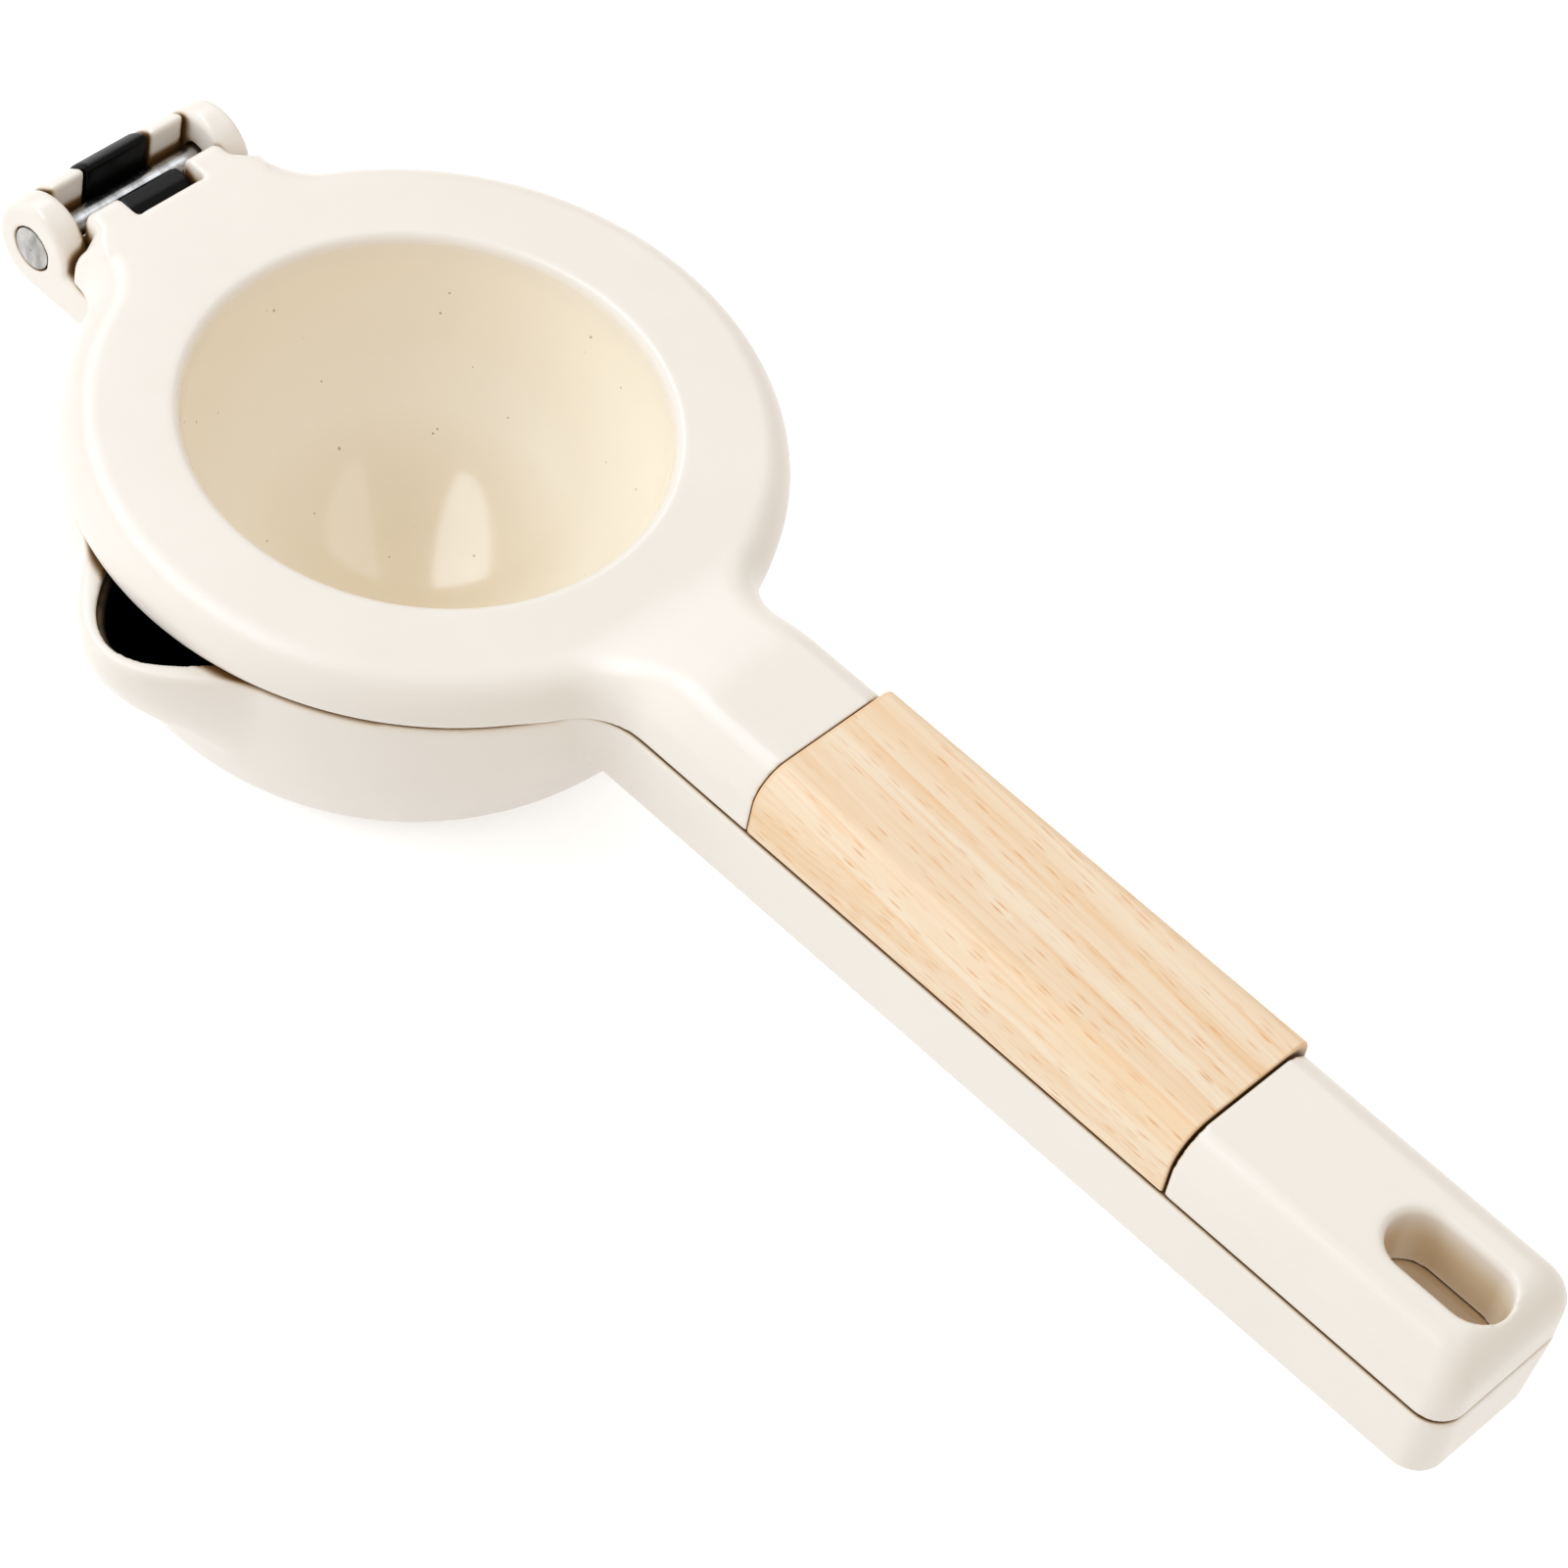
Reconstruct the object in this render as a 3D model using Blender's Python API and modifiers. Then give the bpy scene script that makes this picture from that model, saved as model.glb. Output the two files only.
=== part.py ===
"""Hand citrus juicer: two hinged cast arms, a removable strainer and a beech grip.

Frame: metres, +Z up. The origin lies on the cup's flat base, below the middle of the ring.
+X runs along the handle to its tip, and the pouring spout points to -Y. The arms are closed.
"""
import math

import bmesh
import bpy
from mathutils import Matrix, Vector

MM = 0.001

# Clearances
FIT = 0.3 * MM
SEAM_GAP = 0.3 * MM

# Cup of the lower arm
CUP_HEIGHT = 34.0 * MM
CUP_RADIUS = 41.8 * MM
CUP_WALL = 2.5 * MM
CUP_BASE_RADIUS = 23.0 * MM
CUP_BASE_SHIFT = 2.0 * MM
CUP_RIM_ROUND = 0.8 * MM
LEDGE_WIDTH = 1.2 * MM
LEDGE_DEPTH = 2.1 * MM

# Pouring spout
SPOUT_REACH = 7.7 * MM
SPOUT_DEPTH = 17.0 * MM
SPOUT_WALL = 1.75 * MM
SPOUT_FULLNESS = 1.95
SPOUT_HALF_ANGLE = math.radians(21.5)
SPOUT_MOUTH_HALF_ANGLE = math.radians(17)
SPOUT_TAPER = 1.75
SPOUT_MOUTH_TAPER = 1.5
SPOUT_STEPS = 16
CUP_STEPS = 50

# Ring and punch bowl of the upper arm
RING_RADIUS = 42.4 * MM
RING_HEIGHT = 6.0 * MM
RING_EDGE_ROUND = 4.2 * MM
BOWL_RADIUS = 28.5 * MM
BOWL_DEPTH = 28.0 * MM
BOWL_WALL = 2.4 * MM
BOWL_RIM_ROUND = 1.2 * MM

# Handle, shared by both arms
HANDLE_TIP_X = 165.5 * MM
HANDLE_HALF_WIDTH = 10.9 * MM
HANDLE_HEIGHT = 9.3 * MM
HANDLE_EDGE_ROUND = 5.0 * MM
HANDLE_CORNER_ROUND = 3.8 * MM
NECK_ROUND = 8.5 * MM
RAMP_START_X = 35.0 * MM
RAMP_LENGTH = 18.0 * MM
SEAM_EDGE_ROUND = 0.4 * MM
BAR_DEPTH = 11.3 * MM
BAR_DRAFT = 1.2 * MM
BAR_TIP_DRAFT = 0.5 * MM
BAR_PROUD = 0.25 * MM
BAR_NECK_ROUND = 2.5 * MM
BAR_EDGE_ROUND = 0.8 * MM
BAR_ROOT_ANGLE = 50

# Beech grip and its screws
GRIP_START_X = 63.4 * MM
GRIP_LENGTH = 62.9 * MM
GRIP_WALL = 3.6 * MM
GRIP_NEAR_ROUND = 4.6 * MM
GRIP_FAR_ROUND = 2.2 * MM
GRIP_PROUD = 0.1 * MM
GRIP_END_CHAMFER = 0.25 * MM
SCREW_RADIUS = 1.2 * MM
SCREW_HEAD_RADIUS = 2.4 * MM
SCREW_HEAD_HEIGHT = 1.4 * MM
SCREW_LENGTH = 8.0 * MM
SCREW_POINT_LENGTH = 1.8 * MM
SCREW_HEAD_RIM = 0.2 * MM
SCREW_END_DISTANCE = 12.0 * MM
SCREW_RECESS_LENGTH = 2.4 * MM
SCREW_RECESS_WIDTH = 0.6 * MM
SCREW_RECESS_DEPTH = 0.7 * MM

# Hanging slot
SLOT_CENTRE_FROM_TIP = 10.6 * MM
SLOT_LENGTH = 15.6 * MM
SLOT_WIDTH = 8.0 * MM
SLOT_EDGE_ROUND = 1.0 * MM

# Hinge
PIN_DISTANCE = 51.9 * MM
PIN_RADIUS = 1.6 * MM
PIN_HEAD_RADIUS = 2.75 * MM
PIN_HEAD_HEIGHT = 1.2 * MM
PIN_HEAD_EDGE = 0.2 * MM
EAR_RADIUS = 6.0 * MM
EAR_SPAN = 21.5 * MM
EAR_THICKNESS = 4.05 * MM
EAR_EDGE_ROUND = 0.8 * MM
EAR_BLEND_ROUND = 5.0 * MM
EAR_BLEND_OVERLAP = 1.6 * MM
SHOULDER_CLEARANCE = 0.4 * MM
SHOULDER_CORNER_ROUND = 2.0 * MM
SHOULDER_BLEND_ROUND = 7.0 * MM
NOTCH_ROUND = 0.6 * MM
HOOK_MOUTH_FRONT = 3.7 * MM
HOOK_CORNER_ROUND = 1.2 * MM
TONGUE_EDGE_ROUND = 1.0 * MM
LIP_EDGE_ROUND = 0.5 * MM

# Snap clip around the pin
CLIP_WIDTH = 9.6 * MM
CLIP_SIDE_GAP = 0.4 * MM
CLIP_THICKNESS = 1.2 * MM
CLIP_PROUD = 0.1 * MM
CLIP_FRONT_BACK = 2.6 * MM
CLIP_FRONT_REACH = 7.3 * MM
CLIP_TOP = 4.6 * MM
CLIP_SOLE = 1.2 * MM
CLIP_BACK_CHAMFER = 0.8 * MM
CLIP_FRONT_CHAMFER = 0.4 * MM
CLIP_END_ROUND = 0.4 * MM

# Strainer
STRAINER_WALL = 1.2 * MM
STRAINER_SIDE_CLEARANCE = 1.3 * MM
STRAINER_CLEARANCE = 1.4 * MM
FLANGE_HEIGHT = 1.4 * MM
HOLE_RADIUS = 1.7 * MM
HOLE_RING_SPACING = 7.0 * MM
HOLE_RING_COUNT = 3
HOLES_IN_FIRST_RING = 6
HOLE_SIDES = 8
HOLE_CUT = 1.8 * MM

# Derived places
SEAM_Z = CUP_HEIGHT
LOWER_TOP_Z = SEAM_Z - SEAM_GAP / 2
UPPER_SOLE_Z = SEAM_Z + SEAM_GAP / 2
RING_TOP_Z = SEAM_Z + RING_HEIGHT
HANDLE_TOP_Z = SEAM_Z + HANDLE_HEIGHT
PIN = Vector((-PIN_DISTANCE, 0.0, SEAM_Z))
BORE_RADIUS = PIN_RADIUS + FIT
EAR_INNER_Y = EAR_SPAN / 2
EAR_OUTER_Y = EAR_INNER_Y + EAR_THICKNESS
HOOK_HALF_WIDTH = EAR_INNER_Y - FIT
SHOULDER_X = PIN.x + EAR_RADIUS + SHOULDER_CLEARANCE
BOWL_BOTTOM_Z = RING_TOP_Z - BOWL_DEPTH
GRIP_END_X = GRIP_START_X + GRIP_LENGTH
CORE_HALF_WIDTH = HANDLE_HALF_WIDTH - GRIP_WALL - FIT
CORE_TOP_Z = HANDLE_TOP_Z - GRIP_WALL - FIT
SLOT_X = HANDLE_TIP_X - SLOT_CENTRE_FROM_TIP
SCREW_X = (GRIP_START_X + SCREW_END_DISTANCE, GRIP_END_X - SCREW_END_DISTANCE)
CUP_MOUTH_RADIUS = CUP_RADIUS - CUP_WALL
CUP_THROAT_RADIUS = CUP_MOUTH_RADIUS - LEDGE_WIDTH
STRAINER_RADIUS = CUP_THROAT_RADIUS - STRAINER_SIDE_CLEARANCE

# How far a cutter runs past what it cuts, and how close points are before they merge
FAR_CUT = 20 * MM
NEAR_CUT = 2 * MM
MERGE_DISTANCE = 0.01 * MM

# Colours, linear
CREAM = (0.88, 0.81, 0.70)
BEECH = (0.83, 0.60, 0.36)
STEEL = (0.62, 0.62, 0.60)
BLACK = (0.012, 0.012, 0.012)


def clear_scene():
    for item in list(bpy.data.objects):
        bpy.data.objects.remove(item, do_unlink=True)


def make_collection(name):
    collection = bpy.data.collections.new(name)
    bpy.context.scene.collection.children.link(collection)
    return collection


def make_material(name, colour, roughness, metallic=0.0):
    material = bpy.data.materials.new(name)
    material.use_nodes = True
    shader = material.node_tree.nodes["Principled BSDF"]
    shader.inputs["Base Color"].default_value = (*colour, 1.0)
    shader.inputs["Roughness"].default_value = roughness
    shader.inputs["Metallic"].default_value = metallic
    return material


def add_object(name, bm, collection):
    """Turn a bmesh into an object, with its faces pointing out and shaded smooth."""
    bmesh.ops.recalc_face_normals(bm, faces=bm.faces)
    mesh = bpy.data.meshes.new(name)
    bm.to_mesh(mesh)
    bm.free()
    mesh.shade_smooth()
    mesh.set_sharp_from_angle(angle=math.radians(30))
    item = bpy.data.objects.new(name, mesh)
    collection.objects.link(item)
    return item


def add_tool(name, bm):
    """A hidden solid that cuts, or is joined to, a part."""
    item = add_object(name, bm, tools)
    hide_tool(item)
    return item


def hide_tool(item):
    item.hide_render = True
    item.display_type = "WIRE"


def combine(part, tool, operation):
    modifier = part.modifiers.new(tool.name, "BOOLEAN")
    modifier.operation = operation
    modifier.solver = "EXACT"
    modifier.object = tool


def arc(centre, radius, start, end, steps):
    """Points of an arc in a plane, angles in degrees."""
    points = []
    for step in range(steps + 1):
        angle = math.radians(start + (end - start) * step / steps)
        points.append((centre[0] + radius * math.cos(angle), centre[1] + radius * math.sin(angle)))
    return points


def smooth(value):
    value = min(1.0, max(0.0, value))
    return value * value * (3 - 2 * value)


def offset(points, distance):
    """Move a closed outline, listed anticlockwise, inwards by a small distance."""
    moved = []
    for index, point in enumerate(points):
        before = Vector(points[index - 1])
        here = Vector(point)
        after = Vector(points[(index + 1) % len(points)])
        first = (here - before).normalized()
        second = (after - here).normalized()
        normal = Vector((-first.y - second.y, first.x + second.x)).normalized()
        scale = distance / max(0.5, normal.dot(Vector((-first.y, first.x))))
        moved.append(tuple(here + normal * scale))
    return moved


def bridge_rings(bm, rings):
    """Join closed rings of points, all of one length, with bands of faces."""
    verts = []
    for ring in rings:
        verts.append([bm.verts.new(point) for point in ring])
    count = len(rings[0])
    for low, high in zip(verts, verts[1:]):
        for index in range(count):
            after = (index + 1) % count
            bm.faces.new((low[index], low[after], high[after], high[index]))
    return verts


def loft(rings):
    """A closed solid through rings of points, with flat ends."""
    bm = bmesh.new()
    verts = bridge_rings(bm, rings)
    bm.faces.new(list(reversed(verts[0])))
    bm.faces.new(verts[-1])
    return bm


def side_prism(outline, half_width, edge_round, centre_y=0.0):
    """Extrude an XZ outline along Y, with its end edges rounded."""
    rings = []
    for angle in (0, 45, 90):
        inset = edge_round * (1 - math.sin(math.radians(angle)))
        y = half_width - edge_round * (1 - math.cos(math.radians(angle)))
        rings.append((inset, -y))
    rings = rings + [(inset, -y) for inset, y in reversed(rings)]
    return loft([[(x, centre_y + y, z) for x, z in offset(outline, inset)] for inset, y in rings])


def cylinder(radius, length, centre, axis, segments):
    bm = bmesh.new()
    bmesh.ops.create_cone(bm, cap_ends=True, segments=segments, radius1=radius, radius2=radius,
                          depth=length)
    turn = Vector((0, 0, 1)).rotation_difference(Vector(axis)).to_matrix().to_4x4()
    bm.transform(Matrix.Translation(centre) @ turn)
    return bm


def box(low, high):
    bm = bmesh.new()
    bmesh.ops.create_cube(bm, size=1.0)
    low = Vector(low)
    high = Vector(high)
    bm.transform(Matrix.Translation((low + high) / 2) @ Matrix.Diagonal((*(high - low), 1.0)))
    return bm


def turned(name, profile, collection, segments):
    """A solid of revolution about Z from an outer profile listed from top to bottom."""
    mesh = bpy.data.meshes.new(name)
    mesh.from_pydata([(r, 0.0, z) for r, z in profile], [(i, i + 1) for i in range(len(profile) - 1)], [])
    item = bpy.data.objects.new(name, mesh)
    collection.objects.link(item)
    screw = item.modifiers.new("Turn", "SCREW")
    screw.angle = math.tau
    screw.steps = segments
    screw.render_steps = segments
    screw.use_merge_vertices = True
    screw.merge_threshold = MERGE_DISTANCE
    screw.use_smooth_shade = True
    return item


def blend_centre(half_width, blend, circle, side):
    """Centre of a fillet between a straight edge and a circle, on one side of it in X."""
    y = half_width + blend
    return side * math.sqrt((circle + blend) ** 2 - y ** 2), y


def arm_top(x):
    """Height of the upper arm's top face: the ring's level, then a ramp up to the handle."""
    return RING_TOP_Z + (HANDLE_TOP_Z - RING_TOP_Z) * smooth((x - RAMP_START_X) / RAMP_LENGTH)


def arm_edge_round(x, y):
    """Radius of the upper arm's top edge: small on the tongue, larger on the ring and the handle."""
    corner = EAR_OUTER_Y - SHOULDER_CORNER_ROUND
    tongue_to_ring = smooth((y - HOOK_HALF_WIDTH) / (corner - HOOK_HALF_WIDTH)) if x < 0 else 1.0
    ring_to_neck = smooth((x - RAMP_START_X) / RAMP_LENGTH)
    radius = TONGUE_EDGE_ROUND + (RING_EDGE_ROUND - TONGUE_EDGE_ROUND) * tongue_to_ring
    return radius + (HANDLE_EDGE_ROUND - RING_EDGE_ROUND) * ring_to_neck


def handle_edge(neck, neck_round, half_width, tip_x, corner):
    """Half outline from the round part, along the neck and handle, to the tip's corner."""
    toward = math.degrees(math.atan2(-neck[1], -neck[0])) % 360
    points = arc(neck, neck_round, toward, 270, steps=6)
    ramp_end = RAMP_START_X + RAMP_LENGTH
    steps = 5
    for step in range(1, steps + 1):
        points.append((neck[0] + (ramp_end - neck[0]) * step / steps, half_width))
    return points + arc((tip_x - corner, half_width - corner), corner, 90, 0, steps=5)


def shoulder_outline(inset):
    """Plan outline at y > 0 of the tongue's rear edge, its side and the shoulder beside the ear."""
    rear_x = PIN.x + HOOK_MOUTH_FRONT
    hook_centre = (rear_x + HOOK_CORNER_ROUND, HOOK_HALF_WIDTH - HOOK_CORNER_ROUND)
    points = arc(hook_centre, HOOK_CORNER_ROUND - inset, 180, 90, steps=2)
    notch = (SHOULDER_X - NOTCH_ROUND, HOOK_HALF_WIDTH + NOTCH_ROUND)
    points += arc(notch, NOTCH_ROUND + inset, -90, 0, steps=2)
    middle = (notch[1] + EAR_OUTER_Y - SHOULDER_CORNER_ROUND) / 2
    points.append((SHOULDER_X + inset, middle))
    corner = max(0.0, SHOULDER_CORNER_ROUND - inset)
    return points + arc((SHOULDER_X + inset + corner, EAR_OUTER_Y - inset - corner), corner, 180, 90, steps=4)


def arm_half_outline(inset):
    """Plan outline of the upper arm at y > 0, from the tongue's rear edge to the tip."""
    blend = blend_centre(EAR_OUTER_Y, SHOULDER_BLEND_ROUND, RING_RADIUS, -1)
    toward = math.degrees(math.atan2(-blend[1], -blend[0]))
    points = shoulder_outline(inset) + arc(blend, SHOULDER_BLEND_ROUND + inset, -90, toward, steps=4)
    neck = blend_centre(HANDLE_HALF_WIDTH, NECK_ROUND, RING_RADIUS, 1)
    start = math.degrees(math.atan2(blend[1], blend[0]))
    end = math.degrees(math.atan2(neck[1], neck[0]))
    points += arc((0, 0), RING_RADIUS - inset, start, end, steps=22)[1:-1]
    edge = HANDLE_HALF_WIDTH - inset
    return points + handle_edge(neck, NECK_ROUND + inset, edge, HANDLE_TIP_X - inset,
                                HANDLE_CORNER_ROUND - inset / 2)


def mirrored(half):
    """Close a half outline, listed at y > 0, with its mirror image."""
    return half + [(x, -y) for x, y in reversed(half)]


def arm_ring(angle):
    """One ring around the upper arm's rounded top edge; at 90 degrees it is the top face."""
    base = arm_half_outline(0.0)
    half = []
    for index, (x, y) in enumerate(base):
        radius = arm_edge_round(x, y)
        inset = radius * (1 - math.cos(math.radians(angle)))
        moved = arm_half_outline(inset)[index]
        z = arm_top(moved[0]) - radius * (1 - math.sin(math.radians(angle)))
        half.append((moved[0], moved[1], z))
    return half + [(x, -y, z) for x, y, z in reversed(half)]


def make_deck():
    """The upper arm's plate: tongue, ring, neck and handle, with a rounded top edge."""
    rings = [[(x, y, UPPER_SOLE_Z) for x, y in mirrored(arm_half_outline(SEAM_EDGE_ROUND))]]
    rings.append([(x, y, UPPER_SOLE_Z + SEAM_EDGE_ROUND) for x, y in mirrored(arm_half_outline(0.0))])
    for angle in (0, 22.5, 45, 67.5, 90):
        rings.append(arm_ring(angle))
    bm = bmesh.new()
    verts = bridge_rings(bm, rings)
    bm.faces.new(list(reversed(verts[0])))
    top = verts[-1]
    count = len(top)
    first = next(i for i in range(count) if top[i].co.x > RAMP_START_X)
    bm.faces.new(top[:first + 1] + top[count - 1 - first:])
    for index in range(first, count // 2 - 1):
        mirror = count - 1 - index
        bm.faces.new((top[index], top[index + 1], top[mirror - 1], top[mirror]))
    bmesh.ops.remove_doubles(bm, verts=bm.verts, dist=MERGE_DISTANCE)
    return bm


def at_pin(points):
    """Move an XZ outline drawn around the origin to the hinge pin."""
    return [(PIN.x + x, PIN.z + z) for x, z in points]


def lip_top(radius, slot):
    """Height at which a lip's rounded front corner meets the arc of the back."""
    return math.sqrt(radius ** 2 - (slot + LIP_EDGE_ROUND) ** 2)


def hook_outline():
    """XZ section of the hook: a round back with a slot for the pin, open at the top."""
    slot = BORE_RADIUS
    top = lip_top(EAR_RADIUS, slot)
    points = [(-slot, top - LIP_EDGE_ROUND)]
    points += arc((0, 0), EAR_RADIUS, math.degrees(math.atan2(top, -slot - LIP_EDGE_ROUND)), 360, steps=24)
    points += [(EAR_RADIUS, RING_HEIGHT / 2), (HOOK_MOUTH_FRONT + TONGUE_EDGE_ROUND, RING_HEIGHT / 2)]
    points += [(HOOK_MOUTH_FRONT - FIT, slot), (slot, 0)]
    points += arc((0, 0), slot, 0, -180, steps=8)[1:]
    return at_pin(points)


def clip_outline():
    """XZ section of the snap clip: a rear leg, a half ring under the pin and a broad front leg."""
    inner = BORE_RADIUS
    outer = inner + CLIP_THICKNESS
    back = EAR_RADIUS + CLIP_PROUD
    top = lip_top(back, inner)
    start = math.degrees(math.atan2(top, -inner - LIP_EDGE_ROUND))
    end = 180 - math.degrees(math.asin(CLIP_SOLE / back))
    low = math.degrees(math.asin(CLIP_SOLE / outer))
    points = [(-inner, top - LIP_EDGE_ROUND)]
    points += arc((0, 0), back, start, end, steps=8)
    points += arc((0, 0), outer, 180 - low, 360 + low, steps=14)
    points += [(CLIP_FRONT_REACH, CLIP_SOLE), (CLIP_FRONT_REACH, CLIP_TOP - CLIP_FRONT_CHAMFER)]
    points.append((CLIP_FRONT_REACH - CLIP_FRONT_CHAMFER, CLIP_TOP))
    points.append((CLIP_FRONT_BACK + CLIP_BACK_CHAMFER, CLIP_TOP))
    points += [(CLIP_FRONT_BACK, CLIP_TOP - CLIP_BACK_CHAMFER), (CLIP_FRONT_BACK, inner), (inner, 0)]
    points += arc((0, 0), inner, 0, -180, steps=12)[1:]
    return at_pin(points)


def pocket_outline():
    """XZ section of the clip's pocket, open to the back, to the pin's slot and to the top."""
    outer = BORE_RADIUS + CLIP_THICKNESS + FIT
    sole = CLIP_SOLE - FIT
    low = math.degrees(math.asin(sole / outer))
    back = -EAR_RADIUS - NEAR_CUT
    front = CLIP_FRONT_REACH + FIT
    above = RING_HEIGHT + NEAR_CUT
    points = [(back, sole)] + arc((0, 0), outer, 180 - low, 360 + low, steps=14)
    return at_pin(points + [(front, sole), (front, above), (back, above)])


def bowl_profile(radius, bottom_z, top_z, rim_round, steps):
    """Half section of a round-bottomed bowl, from the top edge down to the centre."""
    depth = top_z - rim_round - bottom_z
    points = []
    for angle in (0, 30, 60) if rim_round else ():
        turn = math.radians(angle)
        points.append((radius + rim_round * (1 - math.sin(turn)), top_z - rim_round * (1 - math.cos(turn))))
    for step in range(steps + 1):
        angle = math.radians(90 * step / steps)
        points.append((radius * math.cos(angle), top_z - rim_round - depth * math.sin(angle)))
    points[-1] = (0.0, bottom_z)
    return points


def make_bowl_tools():
    """The punch bowl's outer body, and the hollow cut into it from the ring's top."""
    outer_top = RING_TOP_Z - RING_HEIGHT / 2
    outer = bowl_profile(BOWL_RADIUS + BOWL_WALL, BOWL_BOTTOM_Z - BOWL_WALL, outer_top, 0.0, steps=9)
    body = turned("bowl_body", [(0.0, outer_top)] + outer, tools, segments=48)
    hide_tool(body)
    inner = bowl_profile(BOWL_RADIUS, BOWL_BOTTOM_Z, RING_TOP_Z, BOWL_RIM_ROUND, steps=9)
    above = RING_TOP_Z + NEAR_CUT
    inner = [(0.0, above), (inner[0][0], above)] + inner
    hollow = turned("bowl_hollow", inner, tools, segments=64)
    hide_tool(hollow)
    return body, hollow


def make_grip_pocket():
    """Leaves only the core under the grip: cuts the top and both sides of the handle."""
    core = CORE_HALF_WIDTH
    wide = HANDLE_HALF_WIDTH + NEAR_CUT
    low = SEAM_Z - NEAR_CUT
    high = HANDLE_TOP_Z + NEAR_CUT
    outline = [(-wide, low), (-core, low), (-core, CORE_TOP_Z), (core, CORE_TOP_Z), (core, low), (wide, low),
               (wide, high), (-wide, high)]
    rings = [[(x, y, z) for y, z in outline] for x in (GRIP_START_X, GRIP_END_X)]
    return add_tool("grip_pocket", loft(rings))


def stadium(half_length, radius):
    straight = half_length - radius
    return arc((straight, 0), radius, -90, 90, steps=10) + arc((-straight, 0), radius, 90, 270, steps=10)


def make_slot_tool(name, top_z, bottom_z, edge_round):
    """Cutter for the hanging slot, flared at its top so that the edge comes out rounded."""
    levels = [(0.0, bottom_z - NEAR_CUT), (0.0, top_z - edge_round)]
    for angle in (30, 60, 90):
        flare = edge_round * (1 - math.cos(math.radians(angle)))
        levels.append((flare, top_z - edge_round * (1 - math.sin(math.radians(angle)))))
    levels.append((edge_round, top_z + NEAR_CUT))
    rings = []
    for flare, z in levels:
        outline = stadium(SLOT_LENGTH / 2 + flare, SLOT_WIDTH / 2 + flare)
        rings.append([(SLOT_X + x, y, z) for x, y in outline])
    return add_tool(name, loft(rings))


def screw_profile(extra, below):
    """Half section of a countersunk screw, head down, from its point to the centre of its head.

    A screw hole is the same shape, wider by `extra` and open by `below` under the head.
    """
    sole = UPPER_SOLE_Z + FIT
    neck = sole + SCREW_HEAD_HEIGHT
    tip = sole + SCREW_LENGTH + extra
    head = SCREW_HEAD_RADIUS + extra
    shank = SCREW_RADIUS + extra
    return [(0.0, tip), (shank, tip - SCREW_POINT_LENGTH), (shank, neck), (head, sole + SCREW_HEAD_RIM),
            (head, sole - below), (0.0, sole - below)]


def make_screw_holes():
    holes = []
    for number, x in enumerate(SCREW_X):
        hole = turned(f"screw_hole_{number + 1}", screw_profile(FIT, NEAR_CUT), tools, segments=24)
        hole.location.x = x
        hide_tool(hole)
        holes.append(hole)
    return holes


def make_upper_arm(screw_holes):
    arm = add_object("upper_arm", make_deck(), parts)
    hook = add_tool("hook_body", side_prism(hook_outline(), HOOK_HALF_WIDTH, LIP_EDGE_ROUND))
    bowl_body, bowl_hollow = make_bowl_tools()
    combine(arm, hook, "UNION")
    combine(arm, bowl_body, "UNION")
    combine(arm, bowl_hollow, "DIFFERENCE")
    pocket = add_tool("clip_pocket", side_prism(pocket_outline(), CLIP_WIDTH / 2 + CLIP_SIDE_GAP, 0.0))
    combine(arm, pocket, "DIFFERENCE")
    combine(arm, make_grip_pocket(), "DIFFERENCE")
    slot = make_slot_tool("upper_slot", HANDLE_TOP_Z, UPPER_SOLE_Z, SLOT_EDGE_ROUND)
    combine(arm, slot, "DIFFERENCE")
    for hole in screw_holes:
        combine(arm, hole, "DIFFERENCE")
    return arm


def spout_lobe(angle, half_angle, power):
    """Share of the spout's reach at an angle from the spout's middle."""
    if abs(angle) >= half_angle:
        return 0.0
    return math.cos(angle / half_angle * math.pi / 2) ** power


def cup_angles():
    """Angles around the cup, measured from the spout's middle, closer together there."""
    rest = math.tau - 2 * SPOUT_HALF_ANGLE
    fine = [SPOUT_HALF_ANGLE * (2 * step / SPOUT_STEPS - 1) for step in range(SPOUT_STEPS)]
    coarse = [SPOUT_HALF_ANGLE + rest * step / CUP_STEPS for step in range(CUP_STEPS)]
    return fine + coarse


def cup_centre_x(z):
    """The cup's middle leans towards the hinge with depth."""
    return -CUP_BASE_SHIFT * (LOWER_TOP_Z - min(z, LOWER_TOP_Z)) / LOWER_TOP_Z


def cup_radius(z):
    """Outer radius of the cup at a height: a quarter ellipse from the seam to the base."""
    share = 1 - z / LOWER_TOP_Z
    return CUP_BASE_RADIUS + (CUP_RADIUS - CUP_BASE_RADIUS) * math.sqrt(1 - share ** 2)


def cup_ring(radius, z, reach, half_angle, power):
    depth = (LOWER_TOP_Z - min(z, LOWER_TOP_Z)) / SPOUT_DEPTH
    fade = max(0.0, 1 - depth ** SPOUT_FULLNESS)
    ring = []
    for angle in cup_angles():
        distance = radius + reach * spout_lobe(angle, half_angle, power) * fade
        ring.append((cup_centre_x(z) + distance * math.sin(angle), -distance * math.cos(angle), z))
    return ring


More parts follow.
